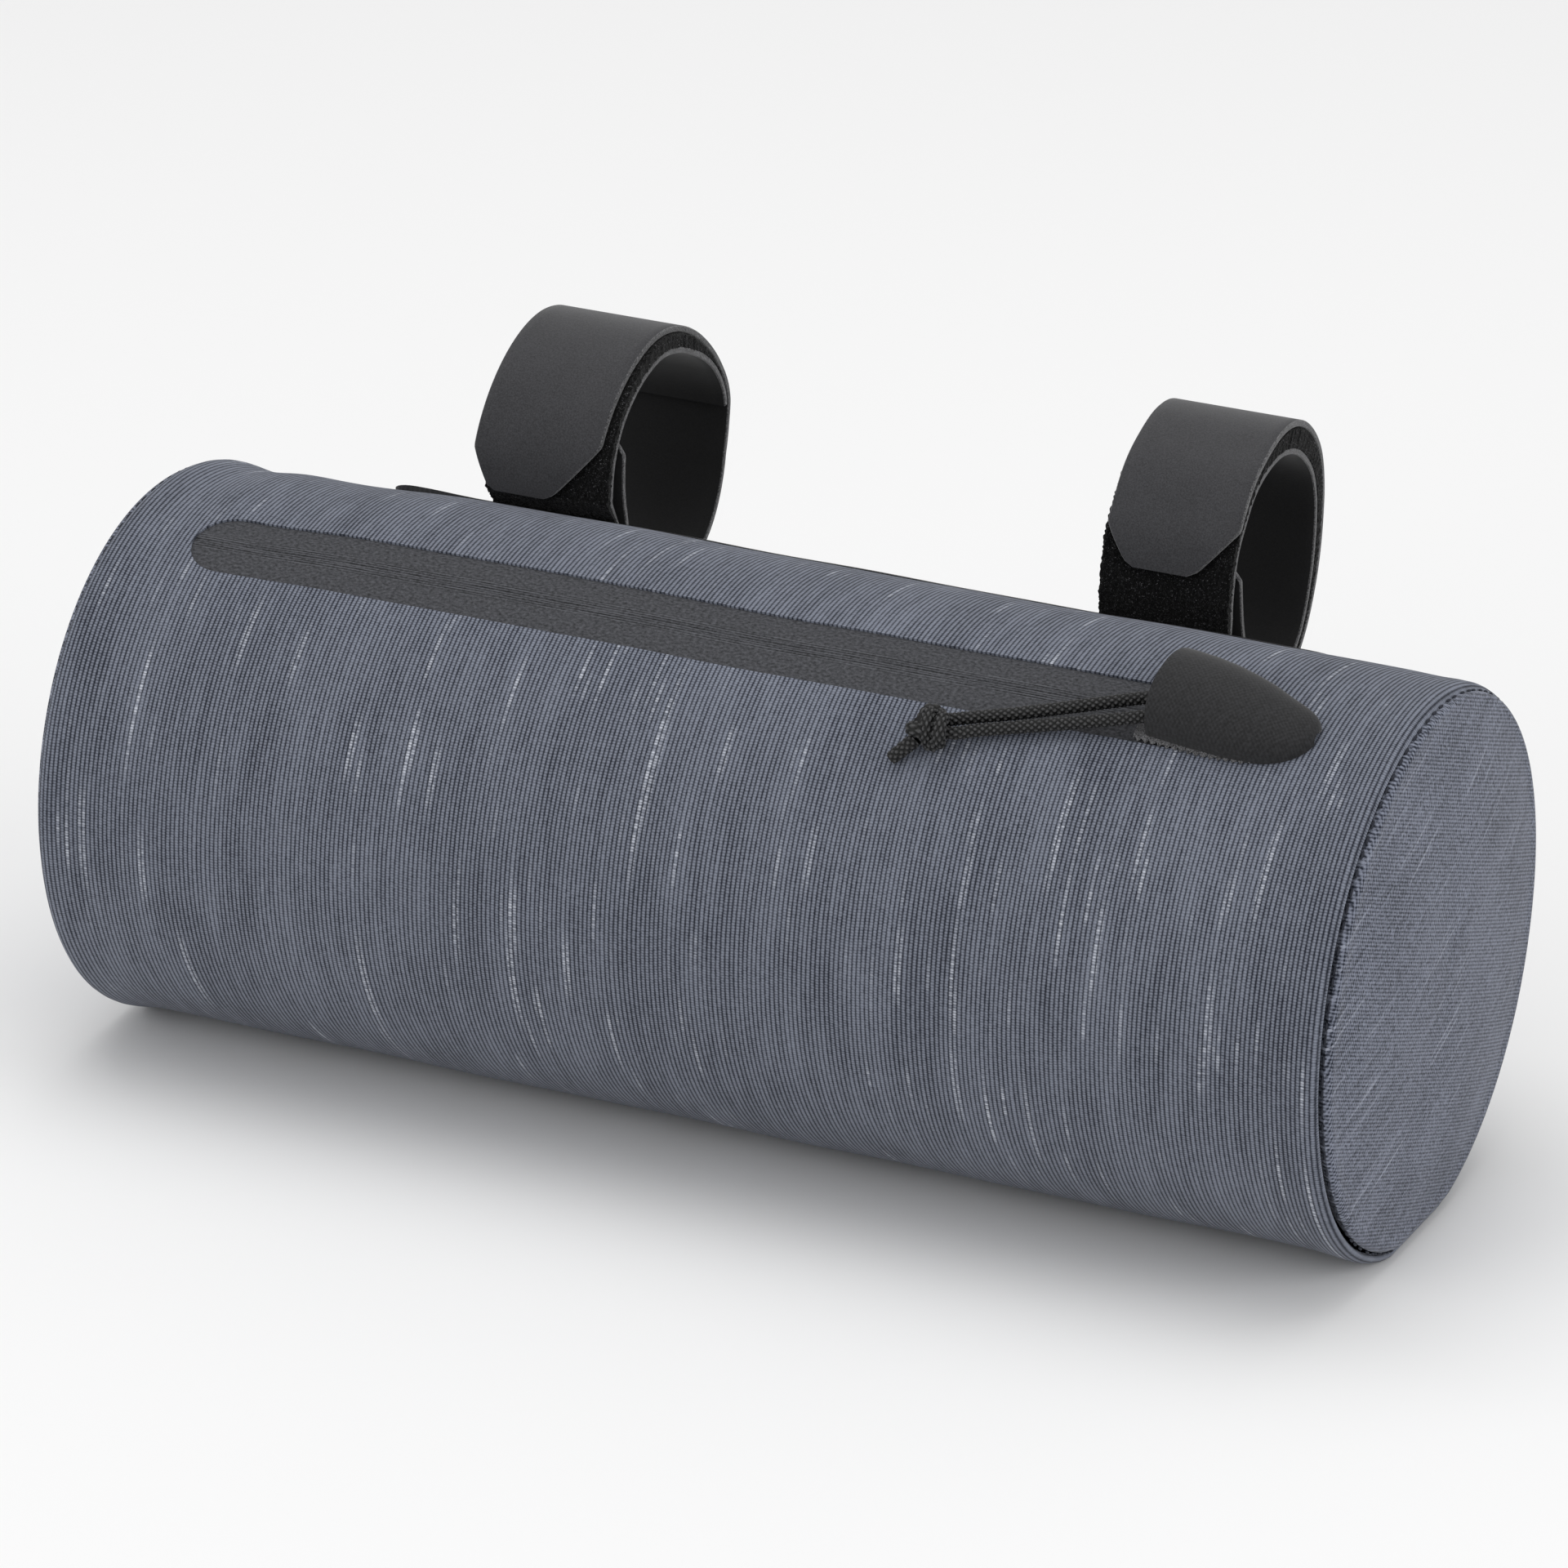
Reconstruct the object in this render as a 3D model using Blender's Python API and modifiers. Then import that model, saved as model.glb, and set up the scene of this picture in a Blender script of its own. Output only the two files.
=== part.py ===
"""Bicycle handlebar bag: a padded cloth barrel with a curved zipper window, a hooded zipper
garage with a knotted pull cord, a stiff back panel and two hook-and-loop straps.

Units are metres. +X runs along the barrel, +Z is up, the zipper faces -Y and the panel +Y.
The origin is the middle of the flattened strip that the bag rests on.
A turn is an angle round the barrel's axis: 0 faces the front, 90 degrees the top.
"""

import math

import bmesh
import bpy
from mathutils import Vector

# Barrel
BAG_RADIUS = 0.0553
BAG_LENGTH = 0.2684
WALL = 0.0020
RIM_ROUND = 0.0015
BOTTOM_FLAT = 0.0015
CAP_BULGE = 0.0025
CAP_THICKNESS = 0.0020
GAP = 0.0003

# Zipper window, tape and slider
ZIP_TURN = math.radians(67.8)
ZIP_WIDTH = 0.0160
ZIP_START = 0.0170 - BAG_LENGTH / 2
ZIP_END = BAG_LENGTH / 2 - 0.0202
TAPE_THICKNESS = 0.0012
TAPE_RECESS = 0.0004
SLIDER_LENGTH = 0.0100
SLIDER_WIDTH = 0.0080
SLIDER_HEIGHT = 0.0028
SLIDER_X = ZIP_END - 0.0155
BAIL_WIRE = 0.0012
BAIL_RISE = 0.0032

# Garage hood over the parked slider
GARAGE_TURN = math.radians(69.9)
GARAGE_MOUTH = ZIP_END - 0.0268
GARAGE_TIP = ZIP_END + 0.0038
GARAGE_WIDTH = 0.0220
GARAGE_HEIGHT = 0.0096
GARAGE_WALL = 0.0012

# Pull cord and its knot
CORD_DIAMETER = 0.0024
CORD_STEP = 0.0053
KNOT_LENGTH = 0.0092
KNOT_WIDTH = 0.0088
KNOT_HEIGHT = 0.0080
KNOT_X = SLIDER_X - 0.0519
KNOT_TURN = math.radians(51.8)
TAIL_DIAMETER = 0.0028
TAIL_END_X = KNOT_X - 0.0064
TAIL_END_TURN = math.radians(45.4)

# Back panel
PANEL_LENGTH = 0.2040
PANEL_FRONT_TURN = math.radians(122.3)
PANEL_BACK_TURN = math.radians(167.0)
PANEL_FLAT_TURN = math.radians(139.0)
PANEL_FLAT_DEPTH = 0.0012
PANEL_THICKNESS = 0.0010
PANEL_CORNER = 0.0120

# Straps: their loops share one centre line, where the handlebar goes through
STRAP_WIDTH = 0.0268
BAND_THICKNESS = 0.0013
PILE_DEPTH = 0.0030
LOOP_RADIUS = 0.0250
LOOP_TURN = math.radians(139.7)
LOOP_REACH = 0.0220
FLAP_CORNER_LENGTH = 0.0095
FLAP_CORNER_WIDTH = 0.0072
TAB_CORNER_LENGTH = 0.0045
TAB_CORNER_WIDTH = 0.0035
TAB_INSET = 0.0010
TAB_STEP = 0.0020
LEFT_STRAP_X = -0.0654
RIGHT_STRAP_X = 0.0636
LEFT_FLAP_DRIFT = -0.0028
RIGHT_FLAP_DRIFT = 0.0008

AXIS_HEIGHT = BAG_RADIUS - BOTTOM_FLAT
AROUND = 72

# Loop sections, from the front foot over the top to the rear foot.
# Columns: angle in the YZ plane about the loop's centre in degrees, inner face as a share of
# LOOP_RADIUS, pile as a share of PILE_DEPTH.
LEFT_LOOP = (
    (178, 1.12, 0.40),
    (161, 1.14, 0.45),
    (148, 1.13, 0.50),
    (134, 1.09, 0.68),
    (119, 1.04, 0.85),
    (103, 0.99, 0.92),
    (88, 0.93, 0.92),
    (71, 0.88, 0.75),
    (54, 0.88, 0.40),
    (36, 0.91, 0.12),
    (18, 0.94, 0.05),
    (0, 0.92, 0.05),
    (-20, 0.94, 0.05),
    (-50, 0.99, 0.05),
    (-85, 1.00, 0.05),
    (-100, 0.99, 0.05),
)
RIGHT_LOOP = (
    (186, 0.88, 0.50),
    (167, 0.88, 0.50),
    (152, 0.90, 0.45),
    (138, 0.90, 0.45),
    (122, 0.93, 0.45),
    (105, 0.93, 0.62),
    (88, 0.93, 1.02),
    (72, 0.92, 1.30),
    (56, 0.90, 1.32),
    (40, 0.88, 1.10),
    (24, 0.83, 0.80),
    (8, 0.78, 0.60),
    (-10, 0.76, 0.50),
    (-30, 0.79, 0.35),
    (-55, 0.88, 0.20),
    (-85, 0.96, 0.20),
    (-100, 0.97, 0.20),
)

# Garage sections, from the mouth to the tip.
# Columns: share of the length, share of GARAGE_WIDTH, share of GARAGE_HEIGHT.
GARAGE_SECTIONS = (
    (0.000, 0.88, 1.00),
    (0.180, 0.95, 1.00),
    (0.380, 1.00, 0.95),
    (0.560, 1.00, 0.86),
    (0.720, 0.94, 0.72),
    (0.850, 0.78, 0.54),
    (0.940, 0.54, 0.36),
    (0.985, 0.28, 0.18),
)

# Route of the two strands of the pull cord, from the slider's bail to the knot.
# Columns: x from the slider, turn in degrees, height of the centre line above the cloth.
UPPER_STRAND = (
    (-0.0065, 68.6, 0.0042),
    (-0.0105, 68.4, 0.0040),
    (-0.0139, 67.8, 0.0036),
    (-0.0185, 66.4, 0.0031),
    (-0.0270, 63.2, 0.0026),
    (-0.0382, 59.1, 0.0022),
    (-0.0435, 57.0, 0.0026),
    (-0.0477, 55.0, 0.0034),
)
LOWER_STRAND = (
    (-0.0065, 65.0, 0.0042),
    (-0.0095, 64.5, 0.0040),
    (-0.0130, 63.3, 0.0034),
    (-0.0180, 61.8, 0.0029),
    (-0.0256, 59.6, 0.0024),
    (-0.0374, 56.1, 0.0021),
    (-0.0430, 54.0, 0.0026),
    (-0.0470, 51.9, 0.0036),
)


def clear_scene():
    """Removes every object and unused mesh, so that the script can be run again."""
    for item in list(bpy.data.objects):
        bpy.data.objects.remove(item, do_unlink=True)
    for mesh in list(bpy.data.meshes):
        if mesh.users == 0:
            bpy.data.meshes.remove(mesh)


def collection(name):
    """Returns a new collection linked to the scene."""
    group = bpy.data.collections.new(name)
    bpy.context.scene.collection.children.link(group)
    return group


def material(name, colour, roughness, metallic=0.0):
    """Returns a Principled material of one colour."""
    made = bpy.data.materials.new(name)
    made.use_nodes = True
    shader = made.node_tree.nodes["Principled BSDF"]
    shader.inputs["Base Color"].default_value = (*colour, 1.0)
    shader.inputs["Roughness"].default_value = roughness
    shader.inputs["Metallic"].default_value = metallic
    made.diffuse_color = (*colour, 1.0)
    return made


def place(x, turn, radius):
    """Returns the point at a turn and radius round the barrel's axis."""
    return Vector((x, -radius * math.cos(turn), AXIS_HEIGHT + radius * math.sin(turn)))


def outline(turn, inset=0.0):
    """Returns the radius at a turn of the barrel's outline, or of one set in from it.

    The outline is round, but flat where the bag rests and under the panel.
    """
    radius = BAG_RADIUS - inset
    down = math.cos(turn + math.pi / 2)
    if down > 0.5:
        radius = min(radius, (BAG_RADIUS - BOTTOM_FLAT - inset) / down)
    back = math.cos(turn - PANEL_FLAT_TURN)
    if back > 0.5:
        radius = min(radius, (BAG_RADIUS - PANEL_FLAT_DEPTH - inset) / back)
    return radius


def flat_edge(depth):
    """Returns the half angle of a flat that is cut to a depth into the barrel."""
    return math.acos((BAG_RADIUS - depth) / BAG_RADIUS)


def around_turns():
    """Returns the turns of the barrel's points, with one on each edge of its flats."""
    turns = [2 * math.pi * step / AROUND for step in range(AROUND)]
    corners = []
    for centre, depth in ((1.5 * math.pi, BOTTOM_FLAT), (PANEL_FLAT_TURN, PANEL_FLAT_DEPTH)):
        half = flat_edge(depth)
        turns = [turn for turn in turns if abs(turn - centre) > half]
        corners += [centre - half, centre - half / 3, centre + half / 3, centre + half]
    spacing = math.pi / AROUND
    turns = [turn for turn in turns if min(abs(turn - corner) for corner in corners) > spacing]
    return sorted(turns + corners)


def loft(name, rings, group, finish, cyclic=False):
    """Makes a closed solid through rings of points, capped at both ends or joined in a loop."""
    mesh = bmesh.new()
    rows = [[mesh.verts.new(point) for point in ring] for ring in rings]
    pairs = list(zip(rows, rows[1:]))
    if cyclic:
        pairs.append((rows[-1], rows[0]))
    for first, second in pairs:
        for here in range(len(first)):
            after = (here + 1) % len(first)
            mesh.faces.new((first[here], first[after], second[after], second[here]))
    if not cyclic:
        mesh.faces.new(list(reversed(rows[0])))
        mesh.faces.new(rows[-1])
    bmesh.ops.recalc_face_normals(mesh, faces=mesh.faces)
    return finished(name, mesh, group, finish)


def finished(name, mesh, group, finish):
    """Turns a bmesh into a smooth-shaded object with its material."""
    data = bpy.data.meshes.new(name)
    mesh.to_mesh(data)
    mesh.free()
    data.shade_smooth()
    data.set_sharp_from_angle(angle=math.radians(35))
    data.materials.append(finish)
    item = bpy.data.objects.new(name, data)
    group.objects.link(item)
    return item


def boolean(item, operation, other):
    """Adds an exact Boolean modifier to an object."""
    step = item.modifiers.new(operation.lower(), "BOOLEAN")
    step.operation = operation
    step.solver = "EXACT"
    step.object = other


def stadium_cutter(name, width, start, end, group):
    """Makes a long rounded block that stands on the zipper's line and cuts its window."""
    mesh = bmesh.new()
    bmesh.ops.create_cone(
        mesh, cap_ends=True, segments=32, radius1=width / 2, radius2=width / 2, depth=BAG_RADIUS
    )
    half_straight = (end - start - width) / 2
    for point in mesh.verts:
        if abs(point.co.x) > width * 1e-3:
            point.co.x += math.copysign(half_straight, point.co.x)
        else:
            point.co.x += half_straight
    data = bpy.data.meshes.new(name)
    mesh.to_mesh(data)
    mesh.free()
    item = bpy.data.objects.new(name, data)
    item.rotation_euler.x = math.pi / 2 - ZIP_TURN
    item.location = place((start + end) / 2, ZIP_TURN, BAG_RADIUS)
    item.hide_render = True
    item.display_type = "WIRE"
    group.objects.link(item)
    return item


def barrel(parts, cutters, cloth):
    """The padded cloth tube with rounded rims and the zipper's window."""
    turns = around_turns()
    half = BAG_LENGTH / 2
    stations = []
    for step in range(4):
        angle = math.pi / 2 * step / 3
        stations.append((half - RIM_ROUND * (1 - math.sin(angle)), RIM_ROUND * (1 - math.cos(angle))))
    stations = [(-x, inset) for x, inset in reversed(stations)] + stations
    rings = [[place(x, turn, outline(turn, inset)) for turn in turns] for x, inset in stations]
    for x in (half, -half):
        rings.append([place(x, turn, outline(turn, WALL)) for turn in turns])
    tube = loft("barrel", rings, parts, cloth, cyclic=True)
    boolean(tube, "DIFFERENCE", stadium_cutter("zip_window", ZIP_WIDTH, ZIP_START, ZIP_END, cutters))
    return tube


def end_cap(name, side, parts, cloth):
    """A slightly domed round end, seated inside the barrel's rim."""
    turns = around_turns()
    shares = (0.12, 0.35, 0.60, 0.82, 0.95, 1.00)
    edge = BAG_LENGTH / 2

    def ring(share, lift):
        x = side * (edge + lift + CAP_BULGE * (1 - share**2))
        return [place(x, turn, share * outline(turn, WALL + GAP)) for turn in turns]

    inner = [ring(share, -CAP_THICKNESS) for share in shares]
    outer = [ring(share, 0.0) for share in reversed(shares)]
    return loft(name, inner + outer, parts, cloth)


def tape_half(name, side, parts, cutters, tape):
    """One half of the zipper tape, which fills its side of the window."""
    top = TAPE_RECESS
    bottom = TAPE_RECESS + TAPE_THICKNESS
    inner_turn = GAP / 2 / BAG_RADIUS
    outer_turn = ZIP_WIDTH / BAG_RADIUS
    steps = 5
    turns = [
        ZIP_TURN + side * (inner_turn + (outer_turn - inner_turn) * step / steps)
        for step in range(steps + 1)
    ]
    rings = []
    for x in (ZIP_START - ZIP_WIDTH, ZIP_END + ZIP_WIDTH):
        rings.append(
            [place(x, turn, outline(turn, top)) for turn in turns]
            + [place(x, turn, outline(turn, bottom)) for turn in reversed(turns)]
        )
    half = loft(name, rings, parts, tape)
    window = stadium_cutter(
        f"{name}_outline", ZIP_WIDTH - 2 * GAP, ZIP_START + GAP, ZIP_END - GAP, cutters
    )
    boolean(half, "INTERSECT", window)
    return half


def zipper_slider(parts, cutters, metal):
    """The parked slider: a bevelled body with a bail that takes the pull cord."""
    mesh = bmesh.new()
    bmesh.ops.create_cube(mesh, size=1.0)
    for point in mesh.verts:
        point.co = Vector(
            (point.co.x * SLIDER_LENGTH, point.co.y * SLIDER_WIDTH, point.co.z * SLIDER_HEIGHT)
        )
    slider = finished("zipper_slider", mesh, parts, metal)
    slider.rotation_euler.x = math.pi / 2 - ZIP_TURN
    seat = BAG_RADIUS - TAPE_RECESS + GAP
    slider.location = place(SLIDER_X, ZIP_TURN, seat + SLIDER_HEIGHT / 2)
    bevel = slider.modifiers.new("bevel", "BEVEL")
    bevel.width = SLIDER_HEIGHT / 5
    bevel.segments = 2

    curve = bpy.data.curves.new("bail_wire", "CURVE")
    curve.dimensions = "3D"
    curve.bevel_depth = BAIL_WIRE / 2
    curve.bevel_resolution = 1
    curve.use_fill_caps = True
    path = curve.splines.new("POLY")
    points = 9
    path.points.add(points - 1)
    for index in range(points):
        angle = math.pi * index / (points - 1)
        path.points[index].co = (
            -SLIDER_LENGTH / 3 * math.cos(angle), 0.0, BAIL_RISE * math.sin(angle) - BAIL_WIRE, 1.0
        )
    guide = bpy.data.objects.new("bail_guide", curve)
    cutters.objects.link(guide)
    bail = mesh_of_curve("slider_bail", guide, cutters)
    bail.rotation_euler.x = math.pi / 2 - ZIP_TURN
    bail.location = place(SLIDER_X, ZIP_TURN, seat + SLIDER_HEIGHT)
    boolean(slider, "UNION", bail)
    return slider


def mesh_of_curve(name, guide, group):
    """Replaces a curve by a closed mesh with welded caps, kept as a Boolean's operand."""
    graph = bpy.context.evaluated_depsgraph_get()
    data = bpy.data.meshes.new_from_object(guide.evaluated_get(graph))
    data.name = name
    mesh = bmesh.new()
    mesh.from_mesh(data)
    bmesh.ops.remove_doubles(mesh, verts=mesh.verts, dist=1e-6)
    mesh.to_mesh(data)
    mesh.free()
    item = bpy.data.objects.new(name, data)
    item.matrix_world = guide.matrix_world
    item.hide_render = True
    item.display_type = "WIRE"
    group.objects.link(item)
    bpy.data.objects.remove(guide, do_unlink=True)
    return item


def garage_hood(parts, softshell):
    """A half-dome of softshell over the slider, open at its mouth and underneath."""
    length = GARAGE_TIP - GARAGE_MOUTH
    across = 14

    def section(row, shrink):
        share, width, height = row
        half_width = (GARAGE_WIDTH / 2 - shrink) * width
        points = []
        for step in range(across + 1):
            angle = math.pi * step / across
            turn = GARAGE_TURN - half_width * math.cos(angle) / BAG_RADIUS
            rise = 0.0
            if 0 < step < across:
                rise = (GARAGE_HEIGHT - shrink) * height * math.sin(angle) ** 0.85
            x = GARAGE_MOUTH + (length - shrink) * share
            points.append(place(x, turn, BAG_RADIUS + GAP + rise))
        return points

    rings = [section(row, 0.0) for row in GARAGE_SECTIONS]
    rings += [section(row, GARAGE_WALL) for row in reversed(GARAGE_SECTIONS)]
    mesh = bmesh.new()
    rows = [[mesh.verts.new(point) for point in ring] for ring in rings]
    for index in range(len(rows)):
        first, second = rows[index], rows[(index + 1) % len(rows)]
        for here in range(across):
            mesh.faces.new((first[here], first[here + 1], second[here + 1], second[here]))
    for index in range(len(GARAGE_SECTIONS) - 1):
        outer, outer_next = rows[index], rows[index + 1]
        inner, inner_next = rows[-1 - index], rows[-2 - index]
        for edge in (0, across):
            mesh.faces.new((outer[edge], outer_next[edge], inner_next[edge], inner[edge]))
    bmesh.ops.recalc_face_normals(mesh, faces=mesh.faces)
    return finished("zipper_garage", mesh, parts, softshell)


def smooth_route(points, spacing):
    """Returns points about a spacing apart on a smooth curve through the given points."""
    ends = [2 * points[0] - points[1], *points, 2 * points[-1] - points[-2]]
    route = [points[0]]
    for before, start, end, after in zip(ends, ends[1:], ends[2:], ends[3:]):
        steps = max(1, round((end - start).length / spacing))
        for step in range(1, steps + 1):
            t = step / steps
            route.append(
                0.5
                * (
                    2 * start
                    + (end - before) * t
                    + (2 * before - 5 * start + 4 * end - after) * t**2
                    + (3 * start - before - 3 * end + after) * t**3
                )
            )
    return route


def cord_strand(name, rows, parts, braid):
    """One strand of the pull cord, laid over the cloth."""
    points = [
        place(SLIDER_X + ahead, math.radians(turn), BAG_RADIUS + height)
        for ahead, turn, height in rows
    ]
    route = smooth_route(points, CORD_STEP)
    curve = bpy.data.curves.new(name, "CURVE")
    curve.dimensions = "3D"
    curve.bevel_depth = CORD_DIAMETER / 2
    curve.bevel_resolution = 2
    curve.use_fill_caps = True
    line = curve.splines.new("POLY")
    line.points.add(len(route) - 1)
    for point, co in zip(line.points, route):
        point.co = (*co, 1.0)
    curve.materials.append(braid)
    item = bpy.data.objects.new(name, curve)
    parts.objects.link(item)
    return item


def pull_knot(parts, cutters, braid):
    """The overhand knot that joins the strands, with its short tail."""
    centre_radius = BAG_RADIUS + GAP + KNOT_HEIGHT / 2
    mesh = bmesh.new()
    bmesh.ops.create_uvsphere(mesh, u_segments=20, v_segments=12, radius=0.5)
    for point in mesh.verts:
        point.co = Vector(
            (point.co.x * KNOT_LENGTH, point.co.y * KNOT_WIDTH, point.co.z * KNOT_HEIGHT)
        )
    knot = finished("pull_knot", mesh, parts, braid)
    knot.rotation_euler.x = math.pi / 2 - KNOT_TURN
    knot.location = place(KNOT_X, KNOT_TURN, centre_radius)

    curve = bpy.data.curves.new("tail_wire", "CURVE")
    curve.dimensions = "3D"
    curve.bevel_depth = TAIL_DIAMETER / 2
    curve.bevel_resolution = 2
    curve.use_fill_caps = True
    line = curve.splines.new("POLY")
    resting = BAG_RADIUS + GAP + TAIL_DIAMETER / 2
    start = place(KNOT_X, KNOT_TURN, centre_radius)
    middle = place((KNOT_X + TAIL_END_X) / 2, (KNOT_TURN + TAIL_END_TURN) / 2, resting + GAP)
    end = place(TAIL_END_X, TAIL_END_TURN, resting + GAP)
    line.points.add(2)
    for point, co in zip(line.points, (start, middle, end)):
        point.co = (*co, 1.0)
    guide = bpy.data.objects.new("tail_guide", curve)
    cutters.objects.link(guide)
    boolean(knot, "UNION", mesh_of_curve("knot_tail", guide, cutters))
    return knot


def panel_radius(turn):
    """Returns the radius of the back panel's outer face at a turn."""
    return outline(turn, -GAP - PANEL_THICKNESS)


def back_panel(parts, rubber):
    """The stiff panel that carries the straps: it follows the barrel and has round corners."""
    half = PANEL_LENGTH / 2
    corner_turn = PANEL_CORNER / BAG_RADIUS
    corner_steps = 4
    stations = []
    for step in range(corner_steps + 1):
        angle = math.pi / 2 * step / corner_steps
        x = half - PANEL_CORNER * (1 - math.cos(angle))
        stations.append((x, corner_turn * (1 - math.sin(angle))))
    stations = [(-x, cut) for x, cut in stations] + list(reversed(stations))
    flat = flat_edge(PANEL_FLAT_DEPTH)
    steps = 14
    rings = []
    for x, cut in stations:
        first, last = PANEL_FRONT_TURN + cut, PANEL_BACK_TURN - cut
        turns = [first + (last - first) * step / steps for step in range(steps + 1)]
        for edge in (PANEL_FLAT_TURN - flat, PANEL_FLAT_TURN + flat):
            nearest = min(range(1, steps), key=lambda index: abs(turns[index] - edge))
            if first < edge < last:
                turns[nearest] = edge
        rings.append(
            [place(x, turn, panel_radius(turn)) for turn in turns]
            + [place(x, turn, outline(turn, -GAP)) for turn in reversed(turns)]
        )
    return loft("back_panel", rings, parts, rubber)


def loop_centre():
    """Returns the centre of the strap loops in the YZ plane."""
    return place(0.0, LOOP_TURN, BAG_RADIUS + LOOP_REACH)


def loop_value(rows, angle, column):
    """Returns a column of a loop's table at any angle, on a smooth curve through its rows."""
    rows = sorted(rows)
    if angle <= rows[0][0]:
        return rows[0][column]
    if angle >= rows[-1][0]:
        return rows[-1][column]
    after = next(index for index, row in enumerate(rows) if row[0] >= angle)
    slopes = []
    for index in (after - 1, after):
        low, high = rows[max(index - 1, 0)], rows[min(index + 1, len(rows) - 1)]
        slopes.append((high[column] - low[column]) / (high[0] - low[0]))
    start, end = rows[after - 1], rows[after]
    span = end[0] - start[0]
    t = (angle - start[0]) / span
    return (
        (2 * t**3 - 3 * t**2 + 1) * start[column]
        + (t**3 - 2 * t**2 + t) * span * slopes[0]
        + (3 * t**2 - 2 * t**3) * end[column]
        + (t**3 - t**2) * span * slopes[1]
    )


def strip(name, x, route, parts, finish, corner=(0.0, 0.0), skew=0.0):
    """Makes a band STRAP_WIDTH wide from a route of (inner point, outer point) in the YZ plane.

    The band's last end has its corners cut by corner, a length and a width, and that end
    drifts along X by skew.
    """
    cut_length, cut_width = corner
    lengths = [0.0]
    for before, here in zip(route, route[1:]):
        lengths.append(lengths[-1] + (here[1] - before[1]).length)
    total = lengths[-1]
    rings = []
    for length, (inner, outer) in zip(lengths, route):
        half = STRAP_WIDTH / 2
        left = total - length
        if left < cut_length:
            half -= cut_width * (1 - left / cut_length) ** 1.2
        middle = x + skew * (length / total) ** 4
        rings.append(
            [
                Vector((middle - half, inner.y, inner.z)),
                Vector((middle + half, inner.y, inner.z)),
                Vector((middle + half, outer.y, outer.z)),
                Vector((middle - half, outer.y, outer.z)),
            ]
        )
    return loft(name, rings, parts, finish)


def foot(turn, thickness, outwards):
    """Returns the start of a band that leaves the panel at a turn, as (inner, outer) points."""
    half_turn = thickness / 2 / BAG_RADIUS * outwards
    base = max(panel_radius(turn - half_turn), panel_radius(turn + half_turn)) + GAP
    return place(0.0, turn + half_turn, base), place(0.0, turn - half_turn, base)


def loop_points(rows, first, last, step, inner, outer):
    """Returns (inner, outer) points round the loop between two angles in degrees."""
    centre = loop_centre()
    count = max(2, round(abs(last - first) / step))
    points = []
    for index in range(count + 1):
        angle = first + (last - first) * index / count
        ray = Vector((0.0, math.cos(math.radians(angle)), math.sin(math.radians(angle))))
        points.append((centre + ray * inner(rows, angle), centre + ray * outer(rows, angle)))
    return points


def pile_inner(rows, angle):
    """Returns the radius of the pile band's inner face about the loop's centre."""
    return LOOP_RADIUS * loop_value(rows, angle, 1)


def pile_outer(rows, angle):
    """Returns the radius of the pile band's outer face about the loop's centre."""
    return pile_inner(rows, angle) + BAND_THICKNESS + PILE_DEPTH * loop_value(rows, angle, 2)


def strap(side, x, rows, turns, pile_end, flap_end, tab_end, skew, parts, finishes):
    """One hook-and-loop strap: a pile band, a hook band over it and a short tab behind.

    turns holds where the pile band, the hook band and the tab leave the panel, pile_end and
    flap_end the angles where the two bands end, tab_end the angle of the tab's tip and skew
    the hook band's drift along X.
    """
    smooth, pile = finishes
    front_turn, rear_turn, tab_turn = turns
    first_angle = max(row[0] for row in rows)

    route = [foot(front_turn, BAND_THICKNESS + PILE_DEPTH / 2, 1)]
    route += loop_points(rows, first_angle, pile_end, 6, pile_inner, pile_outer)
    strip(f"strap_{side}_pile_band", x, route, parts, pile)

    fade = 25

    def cover(angle):
        return min(1.0, max(0.0, (angle - pile_end + fade) / fade))

    def hook_inner(table, angle):
        lift = pile_outer(table, angle) - pile_inner(table, angle) + GAP
        return pile_inner(table, angle) + lift * cover(angle)

    def hook_outer(table, angle):
        return hook_inner(table, angle) + BAND_THICKNESS

    last_angle = min(row[0] for row in rows)
    corner = (FLAP_CORNER_LENGTH, FLAP_CORNER_WIDTH)
    route = [foot(rear_turn, BAND_THICKNESS, -1)]
    route += loop_points(rows, last_angle, flap_end - 24, 6, hook_inner, hook_outer)
    route += loop_points(rows, flap_end - 20, flap_end, 3, hook_inner, hook_outer)
    strip(f"strap_{side}_hook_band", x, route, parts, smooth, corner=corner, skew=skew)

    centre = loop_centre()
    start = foot(tab_turn, BAND_THICKNESS, 1)
    ray = Vector((0.0, math.cos(math.radians(tab_end)), math.sin(math.radians(tab_end))))
    tip = centre + ray * (pile_inner(rows, tab_end) - TAB_INSET)
    lean = Vector((0.0, *(tip - start[1]).normalized().yz))
    across = Vector((0.0, lean.z, -lean.y))
    middle = start[1].lerp(tip, 0.5) - across * BAND_THICKNESS
    route = [start]
    for point in smooth_route([start[1] + (middle - start[1]) * 0.3, middle, tip], TAB_STEP):
        route.append((point + across * BAND_THICKNESS, point))
    strip(f"strap_{side}_tab", x, route, parts, smooth, corner=(TAB_CORNER_LENGTH, TAB_CORNER_WIDTH))


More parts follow.
